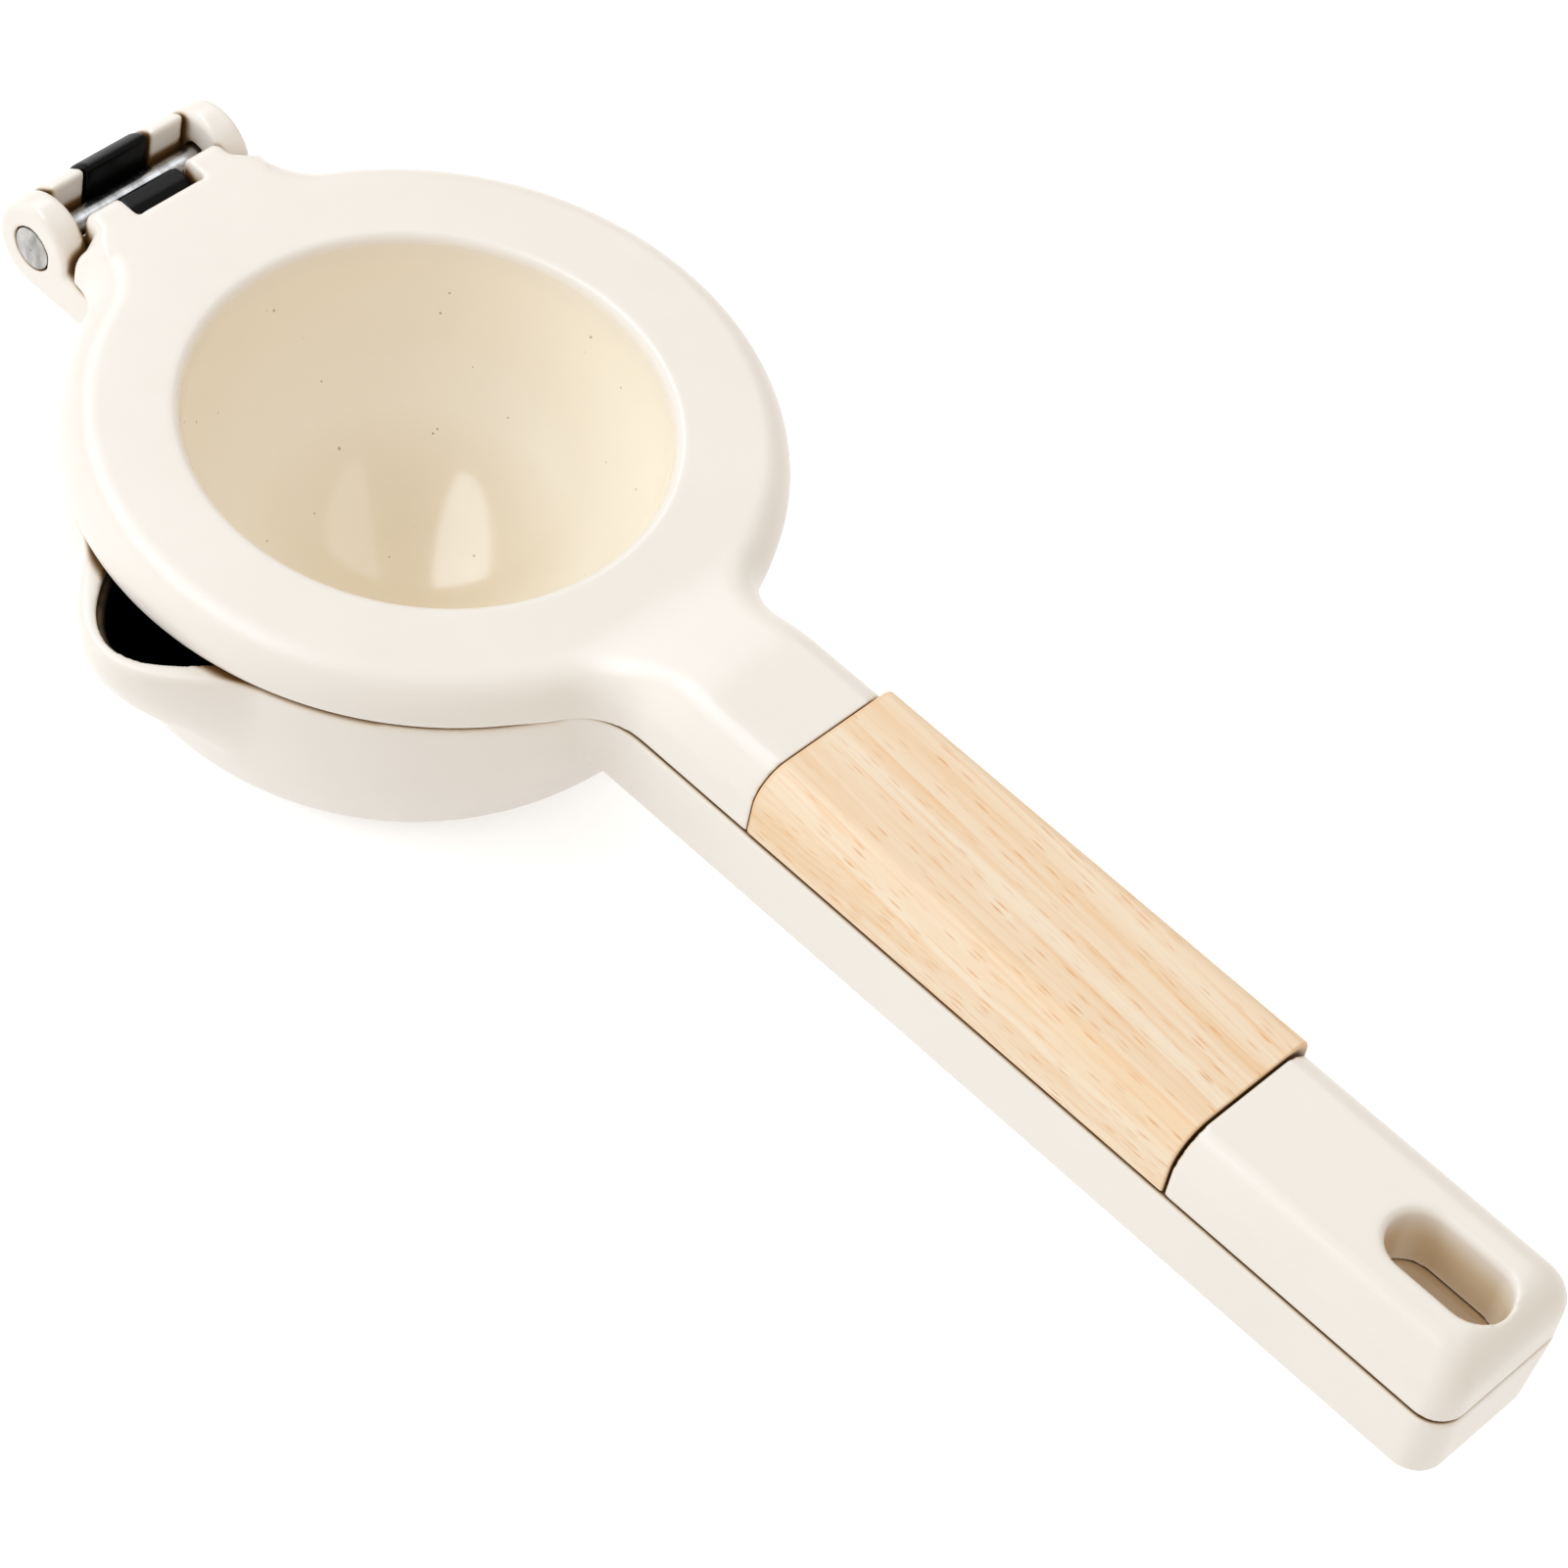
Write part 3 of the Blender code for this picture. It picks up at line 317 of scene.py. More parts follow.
def modify(item, kind, **settings):
    """Add a modifier with its settings."""
    modifier = item.modifiers.new(kind.lower(), kind)
    for key, value in settings.items():
        setattr(modifier, key, value)


def applied(item):
    """Replace an object's mesh by the one that its modifiers make."""
    bpy.context.view_layer.update()
    graph = bpy.context.evaluated_depsgraph_get()
    mesh = bpy.data.meshes.new_from_object(item.evaluated_get(graph))
    item.modifiers.clear()
    item.data = mesh
    return item


def combine(part, tool, operation):
    modify(part, "BOOLEAN", operation=operation, solver="MANIFOLD", object=tool)
    applied(part)
    bpy.data.objects.remove(tool, do_unlink=True)


def cut(part, tool):
    combine(part, tool, "DIFFERENCE")


def soften(item, voxel):
    """Round every edge a little, as a thick coat does: an even remesh, then smoothing."""
    modify(item, "REMESH", mode="VOXEL", voxel_size=voxel)
    modify(item, "SMOOTH", factor=SOFTENING, iterations=SOFTENING_PASSES)
    applied(item)
    triangles = 2 * len(item.data.polygons)
    if triangles > MOST_TRIANGLES:
        modify(item, "DECIMATE", ratio=MOST_TRIANGLES / triangles)
        applied(item)
    item.data.shade_smooth()
    return item


def even_steps(start, end, steps):
    """Values from start to end, in so many steps times the detail."""
    count = steps * DETAIL
    return [start + (end - start) * step / count for step in range(count + 1)]


def arc(centre, radius, start, end, steps):
    """Points of an arc in a plane, angles in degrees, in so many steps times the detail."""
    turns = [math.radians(angle) for angle in even_steps(start, end, steps)]
    return [(centre[0] + radius * math.cos(turn), centre[1] + radius * math.sin(turn)) for turn in turns]


def smooth(value):
    value = min(1.0, max(0.0, value))
    return value * value * (3 - 2 * value)


def offset(points, distance):
    """Move a closed outline, listed anticlockwise, inwards by a small distance."""
    moved = []
    for index, point in enumerate(points):
        before = Vector(points[index - 1])
        here = Vector(point)
        after = Vector(points[(index + 1) % len(points)])
        first = (here - before).normalized()
        second = (after - here).normalized()
        normal = Vector((-first.y - second.y, first.x + second.x)).normalized()
        scale = distance / max(0.5, normal.dot(Vector((-first.y, first.x))))
        moved.append(tuple(here + normal * scale))
    return moved


def bridge_rings(bm, rings):
    """Join closed rings of points, all of one length, with bands of faces."""
    verts = [[bm.verts.new(point) for point in ring] for ring in rings]
    count = len(rings[0])
    for low, high in zip(verts, verts[1:]):
        for index in range(count):
            after = (index + 1) % count
            bm.faces.new((low[index], low[after], high[after], high[index]))
    return verts


def loft(name, rings):
    """A closed solid through rings of points, with flat ends."""
    bm = bmesh.new()
    verts = bridge_rings(bm, rings)
    bm.faces.new(list(reversed(verts[0])))
    bm.faces.new(verts[-1])
    return add_object(name, bm)


def quarter_turns():
    """Angles of a quarter circle, in radians."""
    return even_steps(0.0, math.pi / 2, 2)


def rounding(radius):
    """Steps around a rounded edge: the distance in from the side, and from the end face."""
    return [(radius * (1 - math.sin(turn)), radius * (1 - math.cos(turn))) for turn in quarter_turns()]


def side_prism(name, outline, half_width, edge_round, centre_y=0.0):
    """Extrude an XZ outline along Y, with its end edges rounded."""
    steps = rounding(edge_round) if edge_round else [(0.0, 0.0)]
    rings = [(inset, rise - half_width) for inset, rise in steps]
    rings += [(inset, -y) for inset, y in reversed(rings)]
    return loft(name, [[(x, centre_y + y, z) for x, z in offset(outline, inset)] for inset, y in rings])


def cylinder(name, radius, length, centre):
    """A cylinder along Y."""
    bm = bmesh.new()
    bmesh.ops.create_cone(bm, cap_ends=True, segments=ROUND_STEPS, radius1=radius, radius2=radius,
                          depth=length)
    bm.transform(Matrix.Translation(centre) @ Matrix.Rotation(math.pi / 2, 4, "X"))
    return add_object(name, bm)


def turned(name, profile, x=0.0):
    """A solid of revolution about Z from an outer profile listed from top to bottom."""
    mesh = bpy.data.meshes.new(name)
    mesh.from_pydata([(r, 0.0, z) for r, z in profile], [(i, i + 1) for i in range(len(profile) - 1)], [])
    item = new_object(name, mesh)
    modify(item, "SCREW", angle=math.tau, steps=ROUND_STEPS, render_steps=ROUND_STEPS,
           use_merge_vertices=True, merge_threshold=MERGE_DISTANCE)
    applied(item)
    item.data.transform(Matrix.Translation((x, 0.0, 0.0)))
    return item


# Upper arm
def blend_centre(half_width, blend, circle, side):
    """Centre of a fillet between a straight edge and a circle, on one side of it in X."""
    y = half_width + blend
    return side * math.sqrt((circle + blend) ** 2 - y ** 2), y


def ramp_share(x):
    """How far up the ramp from the ring to the handle a place is."""
    return smooth((x - RAMP_START_X) / RAMP_LENGTH)


def arm_top(x):
    """Height of the top face: the ring's level, then a ramp up to the handle."""
    return RING_TOP_Z + (HANDLE_TOP_Z - RING_TOP_Z) * ramp_share(x)


def arm_edge_round(x, y):
    """Radius of the top edge: small on the tongue, larger on the ring and the handle."""
    corner = EAR_OUTER_Y - SHOULDER_CORNER_ROUND
    tongue_to_ring = smooth((y - HOOK_HALF_WIDTH) / (corner - HOOK_HALF_WIDTH)) if x < 0 else 1.0
    radius = TONGUE_EDGE_ROUND + (RING_EDGE_ROUND - TONGUE_EDGE_ROUND) * tongue_to_ring
    return radius + (HANDLE_EDGE_ROUND - RING_EDGE_ROUND) * ramp_share(x)


def sole_edge_round(x, y):
    """Radius of the lower edge: larger on the ring, where the seam shows from above."""
    beside_ears = smooth((y - EAR_OUTER_Y) / SHOULDER_BLEND_ROUND)
    return SEAM_EDGE_ROUND + (RING_SOLE_ROUND - SEAM_EDGE_ROUND) * beside_ears * (1 - ramp_share(x))


def handle_edge(neck, neck_round, half_width, tip_x, corner):
    """Half outline from the round part, along the neck and handle, to the tip's corner."""
    toward = math.degrees(math.atan2(-neck[1], -neck[0])) % 360
    points = arc(neck, neck_round, toward, 270, steps=6)
    points += [(x, half_width) for x in even_steps(neck[0], RAMP_START_X + RAMP_LENGTH, 6)[1:]]
    return points + arc((tip_x - corner, half_width - corner), corner, 90, 0, steps=4)


def shoulder_outline(inset):
    """Plan outline at y > 0 of the tongue's rear edge, its side and the shoulder beside the ear."""
    rear_x = PIN.x + HOOK_MOUTH_FRONT
    hook_centre = (rear_x + HOOK_CORNER_ROUND, HOOK_HALF_WIDTH - HOOK_CORNER_ROUND)
    points = arc(hook_centre, HOOK_CORNER_ROUND - inset, 180, 90, steps=2)
    notch = (SHOULDER_X - NOTCH_ROUND, HOOK_HALF_WIDTH + NOTCH_ROUND)
    points += arc(notch, NOTCH_ROUND + inset, -90, 0, steps=2)
    end_y = EAR_OUTER_Y - SHOULDER_CORNER_ROUND
    points += [(SHOULDER_X + inset, y) for y in even_steps(notch[1], end_y, 2)[1:-1]]
    corner = max(0.0, SHOULDER_CORNER_ROUND - inset)
    centre = (SHOULDER_X + inset + corner, EAR_OUTER_Y - inset - corner)
    return points + arc(centre, corner, 180, 90, steps=4)


def arm_half_outline(inset):
    """Plan outline at y > 0, from the tongue's rear edge to the tip."""
    blend = blend_centre(EAR_OUTER_Y, SHOULDER_BLEND_ROUND, RING_RADIUS, -1)
    toward = math.degrees(math.atan2(-blend[1], -blend[0]))
    points = shoulder_outline(inset)
    points += arc(blend, SHOULDER_BLEND_ROUND + inset, -90, toward, steps=4)
    neck = blend_centre(HANDLE_HALF_WIDTH, NECK_ROUND, RING_RADIUS, 1)
    start = math.degrees(math.atan2(blend[1], blend[0]))
    end = math.degrees(math.atan2(neck[1], neck[0]))
    points += arc((0, 0), RING_RADIUS - inset, start, end, steps=22)[1:-1]
    return points + handle_edge(neck, NECK_ROUND + inset, HANDLE_HALF_WIDTH - inset, HANDLE_TIP_X - inset,
                                HANDLE_CORNER_ROUND - inset / 2)


def mirrored(half):
    """Close a half ring, listed at y > 0, with its mirror image."""
    return half + [(x, -y, z) for x, y, z in reversed(half)]


def read_inset(outlines, index, inset):
    """A point of the outline at any inset, read between the outlines at even steps."""
    low = min(int(inset / INSET_STEP), len(outlines) - 2)
    share = inset / INSET_STEP - low
    first = outlines[low][index]
    second = outlines[low + 1][index]
    return first[0] + (second[0] - first[0]) * share, first[1] + (second[1] - first[1]) * share


def deck_ring(outlines, turn, at_top):
    """One ring around the lower edge, up from the sole, or around the top edge, up to the top face."""
    from_side = 1 - math.sin(turn)
    from_end = 1 - math.cos(turn)
    half = []
    for index, (x, y) in enumerate(outlines[0]):
        if at_top:
            radius = arm_edge_round(x, y)
            x, y = read_inset(outlines, index, radius * from_end)
            z = arm_top(x) - radius * from_side
        else:
            radius = sole_edge_round(x, y)
            x, y = read_inset(outlines, index, radius * from_side)
            z = UPPER_SOLE_Z + radius * from_end
        half.append((x, y, z))
    return mirrored(half)


def make_deck():
    """The plate: tongue, ring, neck and handle, with rounded lower and top edges."""
    outlines = [arm_half_outline(INSET_STEP * step) for step in range(INSET_COUNT)]
    rings = [deck_ring(outlines, turn, at_top) for at_top in (False, True) for turn in quarter_turns()]
    bm = bmesh.new()
    verts = bridge_rings(bm, rings)
    bm.faces.new(list(reversed(verts[0])))
    top = verts[-1]
    count = len(top)
    first = next(i for i in range(count) if top[i].co.x > RAMP_START_X)
    bm.faces.new(top[:first + 1] + top[count - 1 - first:])
    for index in range(first, count // 2 - 1):
        mirror = count - 1 - index
        bm.faces.new((top[index], top[index + 1], top[mirror - 1], top[mirror]))
    bmesh.ops.remove_doubles(bm, verts=bm.verts, dist=2 * MERGE_DISTANCE)
    return add_object("upper_arm_cast", bm)


def at_pin(points):
    """Move an XZ outline drawn around the origin to the hinge pin."""
    return [(PIN.x + x, PIN.z + z) for x, z in points]


def lip_corner(radius, slot):
    """Where a lip's rounded front corner meets the arc of the back: its height, and its angle."""
    front = slot + LIP_EDGE_ROUND
    top = math.sqrt(radius ** 2 - front ** 2)
    return top, math.degrees(math.atan2(top, -front))


def hook_outline():
    """XZ section of the hook: a round back with a slot for the pin, open at the top."""
    slot = BORE_RADIUS
    top, start = lip_corner(EAR_RADIUS, slot)
    points = arc((-slot - LIP_EDGE_ROUND, top - LIP_EDGE_ROUND), LIP_EDGE_ROUND, 0, 90, steps=1)
    points += arc((0, 0), EAR_RADIUS, start, 360, steps=24)[1:]
    points += [(EAR_RADIUS, RING_HEIGHT / 2), (HOOK_MOUTH_FRONT + TONGUE_EDGE_ROUND, RING_HEIGHT / 2)]
    points += [(HOOK_MOUTH_FRONT - FIT, slot), (slot, 0)]
    points += arc((0, 0), slot, 0, -180, steps=8)[1:]
    return at_pin(points)


def pocket_outline():
    """XZ section of the clip's pocket, open to the back, to the pin's slot and to the top."""
    outer = BORE_RADIUS + CLIP_THICKNESS + FIT
    sole = CLIP_SOLE - FIT
    low = math.degrees(math.asin(sole / outer))
    back = -EAR_RADIUS - NEAR_CUT
    front = CLIP_FRONT_REACH + FIT
    above = RING_HEIGHT + NEAR_CUT
    points = [(back, sole)] + arc((0, 0), outer, 180 - low, 360 + low, steps=14)
    return at_pin(points + [(front, sole), (front, above), (back, above)])


def bowl_profile(radius, bottom_z, top_z, rim_round):
    """Half section of a round-bottomed bowl, from the top edge down to the centre."""
    depth = top_z - rim_round - bottom_z
    rim = rounding(rim_round)[:-1] if rim_round else []
    points = [(radius + flare, top_z - drop) for flare, drop in rim]
    for turn in even_steps(0.0, math.pi / 2, 12):
        points.append((radius * math.cos(turn), top_z - rim_round - depth * math.sin(turn)))
    points[-1] = (0.0, bottom_z)
    return points


def make_bowl_body():
    top = RING_TOP_Z - RING_HEIGHT / 2
    profile = bowl_profile(BOWL_RADIUS + BOWL_WALL, BOWL_BOTTOM_Z - BOWL_WALL, top, 0.0)
    return turned("bowl_body", [(0.0, top)] + profile)


def make_bowl_hollow():
    above = RING_TOP_Z + NEAR_CUT
    profile = bowl_profile(BOWL_RADIUS, BOWL_BOTTOM_Z, RING_TOP_Z, BOWL_RIM_ROUND)
    return turned("bowl_hollow", [(0.0, above), (profile[0][0], above)] + profile)


def make_grip_pocket():
    """Cutter for the handle's top and sides, which leaves the core under the grip."""
    core = CORE_HALF_WIDTH
    wide = HANDLE_HALF_WIDTH + NEAR_CUT
    low = SEAM_Z - NEAR_CUT
    high = HANDLE_TOP_Z + NEAR_CUT
    outline = [(-wide, low), (-core, low), (-core, CORE_TOP_Z), (core, CORE_TOP_Z), (core, low), (wide, low),
               (wide, high), (-wide, high)]
    rings = [[(x, y, z) for y, z in outline] for x in (GRIP_START_X, GRIP_END_X)]
    return loft("grip_pocket", rings)


def stadium(half_length, radius):
    straight = half_length - radius
    return arc((straight, 0), radius, -90, 90, 10) + arc((-straight, 0), radius, 90, 270, 10)


def make_slot_tool(name, top_z, bottom_z, edge_round):
    """Cutter for the hanging slot, flared at its top so that the edge comes out rounded."""
    levels = [(0.0, bottom_z - NEAR_CUT)]
    levels += [(flare, top_z - drop) for drop, flare in rounding(edge_round)]
    levels.append((edge_round, top_z + NEAR_CUT))
    rings = [[(SLOT_X + x, y, z) for x, y in stadium(SLOT_LENGTH / 2 + flare, SLOT_WIDTH / 2 + flare)]
             for flare, z in levels]
    return loft(name, rings)


def make_screw_hole(x):
    sole = UPPER_SOLE_Z + FIT
    tip = sole + SCREW_LENGTH + FIT
    head = SCREW_HEAD_RADIUS + FIT
    shank = SCREW_RADIUS + FIT
    profile = [(0.0, tip), (shank, tip - SCREW_POINT_LENGTH), (shank, sole + SCREW_HEAD_HEIGHT),
               (head, sole + SCREW_HEAD_RIM), (head, sole - NEAR_CUT), (0.0, sole - NEAR_CUT)]
    return turned("screw_hole", profile, x)


def make_upper_arm():
    arm = make_deck()
    combine(arm, side_prism("hook_body", hook_outline(), HOOK_HALF_WIDTH, LIP_EDGE_ROUND), "UNION")
    combine(arm, make_bowl_body(), "UNION")
    cut(arm, make_bowl_hollow())
    cut(arm, side_prism("clip_pocket", pocket_outline(), CLIP_WIDTH / 2 + CLIP_SIDE_GAP, 0.0))
    cut(arm, make_grip_pocket())
    cut(arm, make_slot_tool("upper_slot", HANDLE_TOP_Z, UPPER_SOLE_Z, SLOT_EDGE_ROUND))
    for x in SCREW_X:
        cut(arm, make_screw_hole(x))
    return soften(arm, ARM_VOXEL)


# Lower arm
def spout_lobe(angle, half_angle, power):
    """Share of the spout's reach at an angle from the spout's middle."""
    if abs(angle) >= half_angle:
        return 0.0
    return math.cos(angle / half_angle * math.pi / 2) ** power


def cup_angles():
    """Angles around the cup, measured from the spout's middle, closer together there."""
    spout_steps = 16 * DETAIL
    cup_steps = 50 * DETAIL
    rest = math.tau - 2 * SPOUT_HALF_ANGLE
    fine = [SPOUT_HALF_ANGLE * (2 * step / spout_steps - 1) for step in range(spout_steps)]
    coarse = [SPOUT_HALF_ANGLE + rest * step / cup_steps for step in range(cup_steps)]
    return fine + coarse


def cup_centre_x(z):
    """The cup's middle leans towards the hinge with depth."""
    return -CUP_BASE_SHIFT * max(0.0, LOWER_TOP_Z - z) / LOWER_TOP_Z


def cup_radius(z):
    """Outer radius of the cup at a height: a quarter ellipse from the seam to the base."""
    share = 1 - z / LOWER_TOP_Z
    return CUP_BASE_RADIUS + (CUP_RADIUS - CUP_BASE_RADIUS) * math.sqrt(1 - share ** 2)


def spout_fade(z):
    """How much of the spout's reach is left at a height."""
    depth = max(0.0, LOWER_TOP_Z - z) / SPOUT_DEPTH
    return max(0.0, 1 - depth ** SPOUT_FULLNESS)


def cup_ring(radius, z, reach, half_angle, power):
    ring = []
    for angle in cup_angles():
        distance = radius + reach * spout_lobe(angle, half_angle, power) * spout_fade(z)
        ring.append((cup_centre_x(z) + distance * math.sin(angle), -distance * math.cos(angle), z))
    return ring


def cup_outer_levels():
    """Radius and height down the cup's outside, from the rim to the base."""
    rim_z = LOWER_TOP_Z - CUP_RIM_ROUND
    levels = []
    for turn in quarter_turns():
        inset = CUP_RIM_ROUND * (1 - math.sin(turn))
        levels.append((cup_radius(rim_z) - inset, rim_z + CUP_RIM_ROUND * math.cos(turn)))
    first = math.asin(CUP_RIM_ROUND / LOWER_TOP_Z)
    for turn in even_steps(first, math.pi / 2, 12)[1:]:
        z = max(0.0, LOWER_TOP_Z * (1 - math.sin(turn)))
        levels.append((cup_radius(z), z))
    return levels


def cup_inner_levels():
    """Radius and height down the cup's inside: mouth, ledge for the strainer, round bottom."""
    ledge_z = LOWER_TOP_Z - LEDGE_DEPTH
    spread = CUP_MOUTH_RADIUS - CUP_BASE_RADIUS
    depth = LOWER_TOP_Z - CUP_WALL
    start = math.acos((CUP_THROAT_RADIUS - CUP_BASE_RADIUS) / spread)
    low = LOWER_TOP_Z - depth * math.sin(start)
    levels = [(CUP_MOUTH_RADIUS, LOWER_TOP_Z + NEAR_CUT), (CUP_MOUTH_RADIUS, ledge_z)]
    levels += [(CUP_THROAT_RADIUS, ledge_z), (CUP_THROAT_RADIUS, (ledge_z + low) / 2)]
    for turn in even_steps(start, math.pi / 2, 12):
        levels.append((CUP_BASE_RADIUS + spread * math.cos(turn), LOWER_TOP_Z - depth * math.sin(turn)))
    return levels


def make_cup_body():
    rings = [cup_ring(r, z, SPOUT_REACH, SPOUT_HALF_ANGLE, SPOUT_TAPER) for r, z in cup_outer_levels()]
    return loft("lower_arm_cast", rings)


def make_cup_hollow():
    reach = SPOUT_REACH + CUP_WALL - SPOUT_WALL
    rings = [cup_ring(r, z, reach, SPOUT_MOUTH_HALF_ANGLE, SPOUT_MOUTH_TAPER) for r, z in cup_inner_levels()]
    return loft("cup_hollow", rings)


def bar_half_outline(z, inset):
    """Plan outline of the lower handle at y > 0 and a height, from inside the cup."""
    share = (LOWER_TOP_Z - z) / BAR_DEPTH
    shift = cup_centre_x(z)
    circle = cup_radius(z) - FIT
    half_width = HANDLE_HALF_WIDTH + BAR_PROUD - BAR_DRAFT * share - inset
    neck_round = NECK_ROUND + (BAR_NECK_ROUND - NECK_ROUND) * share + inset
    neck = blend_centre(half_width, neck_round, circle, 1)
    end = math.degrees(math.atan2(neck[1], neck[0]))
    points = arc((0, 0), circle, BAR_ROOT_ANGLE, end, steps=5)[:-1]
    tip_x = HANDLE_TIP_X - BAR_TIP_DRAFT * share - inset - shift
    edge = handle_edge(neck, neck_round, half_width, tip_x, HANDLE_CORNER_ROUND)
    return [(x + shift, y) for x, y in points + edge]


def make_bar():
    bottom_z = SEAM_Z - BAR_DEPTH
    levels = [(inset, LOWER_TOP_Z - drop) for inset, drop in rounding(SEAM_EDGE_ROUND)]
    high = LOWER_TOP_Z - SEAM_EDGE_ROUND
    low = bottom_z + BAR_EDGE_ROUND
    levels += [(0.0, z) for z in even_steps(high, low, 4)[1:-1]]
    levels += [(inset, bottom_z + rise) for rise, inset in rounding(BAR_EDGE_ROUND)]
    rings = [mirrored([(x, y, z) for x, y in bar_half_outline(z, inset)]) for inset, z in levels]
    return loft("handle_bar", rings)


def ear_outline():
    """XZ section of an ear: a round end at the pin and an arm that runs back to the cup."""
    top = LOWER_TOP_Z - PIN.z
    start = math.degrees(math.asin(top / EAR_RADIUS))
    root = PIN_DISTANCE - CUP_RADIUS + CUP_WALL / 2
    points = arc((0, 0), EAR_RADIUS, start, 270, steps=26)
    return at_pin(points + [(root, -EAR_RADIUS), (root, top)])


def ear_blend_outline():
    """Plan outline of the fillet between an ear's outer face and the cup, at y > 0."""
    circle = CUP_RADIUS - FIT
    inside = circle - CUP_WALL / 2
    centre = blend_centre(EAR_OUTER_Y, EAR_BLEND_ROUND, circle, -1)
    toward = math.atan2(-centre[1], -centre[0])
    points = arc(centre, EAR_BLEND_ROUND, -90, math.degrees(toward), steps=5)
    points.append((-inside * math.cos(toward), -inside * math.sin(toward)))
    floor = EAR_OUTER_Y - EAR_BLEND_OVERLAP
    return points + [(-math.sqrt(inside ** 2 - floor ** 2), floor), (points[0][0], floor)]


def make_ear(side):
    centre_y = side * (EAR_INNER_Y + EAR_OUTER_Y) / 2
    return side_prism("ear", ear_outline(), EAR_THICKNESS / 2, EAR_EDGE_ROUND, centre_y)


def make_ear_blend(side):
    outline = [(x, side * y) for x, y in ear_blend_outline()]
    levels = (PIN.z - EAR_RADIUS + EAR_EDGE_ROUND, LOWER_TOP_Z)
    return loft("ear_blend", [[(x, y, z) for x, y in outline] for z in levels])


def cup_depth(point):
    """How far a point of the lower arm lies past the edge of the cup's hollow, negative outside it."""
    z = min(max(point.z, 0.0), LOWER_TOP_Z)
    x = point.x - cup_centre_x(z)
    lobe = spout_lobe(math.atan2(x, -point.y), SPOUT_HALF_ANGLE, SPOUT_TAPER)
    outside = cup_radius(z) + SPOUT_REACH * spout_fade(z) * lobe
    across = outside - CUP_WALL / 2 - math.hypot(x, point.y)
    return min(across, LOWER_TOP_Z - CUP_SHADE_DROP - point.z, point.z - CUP_WALL / 2)


def mark_cup_depth(arm):
    """Keep the cup's depth at every point, for the line where the black painted shade inside the cup starts.
    """
    mark = arm.data.attributes.new("cup_depth", "FLOAT", "POINT")
    for vertex in arm.data.vertices:
        mark.data[vertex.index].value = cup_depth(vertex.co)


def make_lower_arm():
    arm = make_cup_body()
    combine(arm, make_bar(), "UNION")
    for side in (-1, 1):
        combine(arm, make_ear(side), "UNION")
        combine(arm, make_ear_blend(side), "UNION")
    cut(arm, cylinder("pin_bore", BORE_RADIUS, 2 * EAR_OUTER_Y + NEAR_CUT, PIN))
    for side in (-1, 1):
        centre = PIN + Vector((0, side * (EAR_OUTER_Y - PIN_HEAD_HEIGHT - FIT + FAR_CUT / 2), 0))
        cut(arm, cylinder("pin_seat", PIN_HEAD_RADIUS + PIN_SEAT_GAP, FAR_CUT, centre))
    cut(arm, make_slot_tool("lower_slot", LOWER_TOP_Z, SEAM_Z - BAR_DEPTH, SEAM_EDGE_ROUND))
    cut(arm, make_cup_hollow())
    return soften(arm, ARM_VOXEL)


# Pin, clip, grip and strainer
def make_hinge_pin():
    """A turned pin along Y, a low domed head with a centre mark at each end."""
    half = EAR_OUTER_Y
    neck = half - PIN_HEAD_HEIGHT
    edge = PIN_HEAD_EDGE
    flat = PIN_HEAD_RADIUS - edge
    crown = even_steps(PIN_MARK_RADIUS, flat, 1)[:-1]
    face = [(0.0, half - PIN_MARK_RADIUS)] + [(r, half + PIN_DOME * (1 - (r / flat) ** 2)) for r in crown]
    rim = [(flat + edge * math.sin(turn), half - edge + edge * math.cos(turn)) for turn in quarter_turns()]
    profile = face + rim + [(PIN_HEAD_RADIUS, neck), (PIN_RADIUS, neck)]
    profile += [(r, -z) for r, z in reversed(profile)]
    pin = turned("turned_pin", profile)
    pin.data.transform(Matrix.Translation(PIN) @ Matrix.Rotation(math.pi / 2, 4, "X"))
    return shaded(pin)


def shaded(item):
    """Smooth shading that keeps flat faces flat and hard edges hard."""
    item.data.shade_smooth()
    item.data.set_sharp_from_angle(angle=HARD_EDGE)
    modify(item, "WEIGHTED_NORMAL", keep_sharp=True)
    return applied(item)


def clip_outline():
    """XZ section of the snap clip: a rear leg, a half ring under the pin and a broad front leg."""
    inner = BORE_RADIUS
    outer = inner + CLIP_THICKNESS
    back = EAR_RADIUS + CLIP_PROUD
    top, start = lip_corner(back, inner)
    end = 180 - math.degrees(math.asin(CLIP_SOLE / back))
    low = math.degrees(math.asin(CLIP_SOLE / outer))
    points = [(-inner, top - LIP_EDGE_ROUND)]
    points += arc((0, 0), back, start, end, steps=8)
    points += arc((0, 0), outer, 180 - low, 360 + low, steps=14)
    front = CLIP_FRONT_REACH
    points += [(front, CLIP_SOLE), (front, CLIP_TOP - CLIP_SLOPE_DROP), (front - CLIP_SLOPE_LENGTH, CLIP_TOP)]
    points.append((CLIP_FRONT_BACK + CLIP_BACK_CHAMFER, CLIP_TOP))
    points += [(CLIP_FRONT_BACK, CLIP_TOP - CLIP_BACK_CHAMFER), (CLIP_FRONT_BACK, inner), (inner, 0)]
    points += arc((0, 0), inner, 0, -180, steps=12)[1:]
    return at_pin(points)


def make_hinge_clip():
    return soften(side_prism("snap_clip", clip_outline(), CLIP_WIDTH / 2, CLIP_END_ROUND), CLIP_VOXEL)


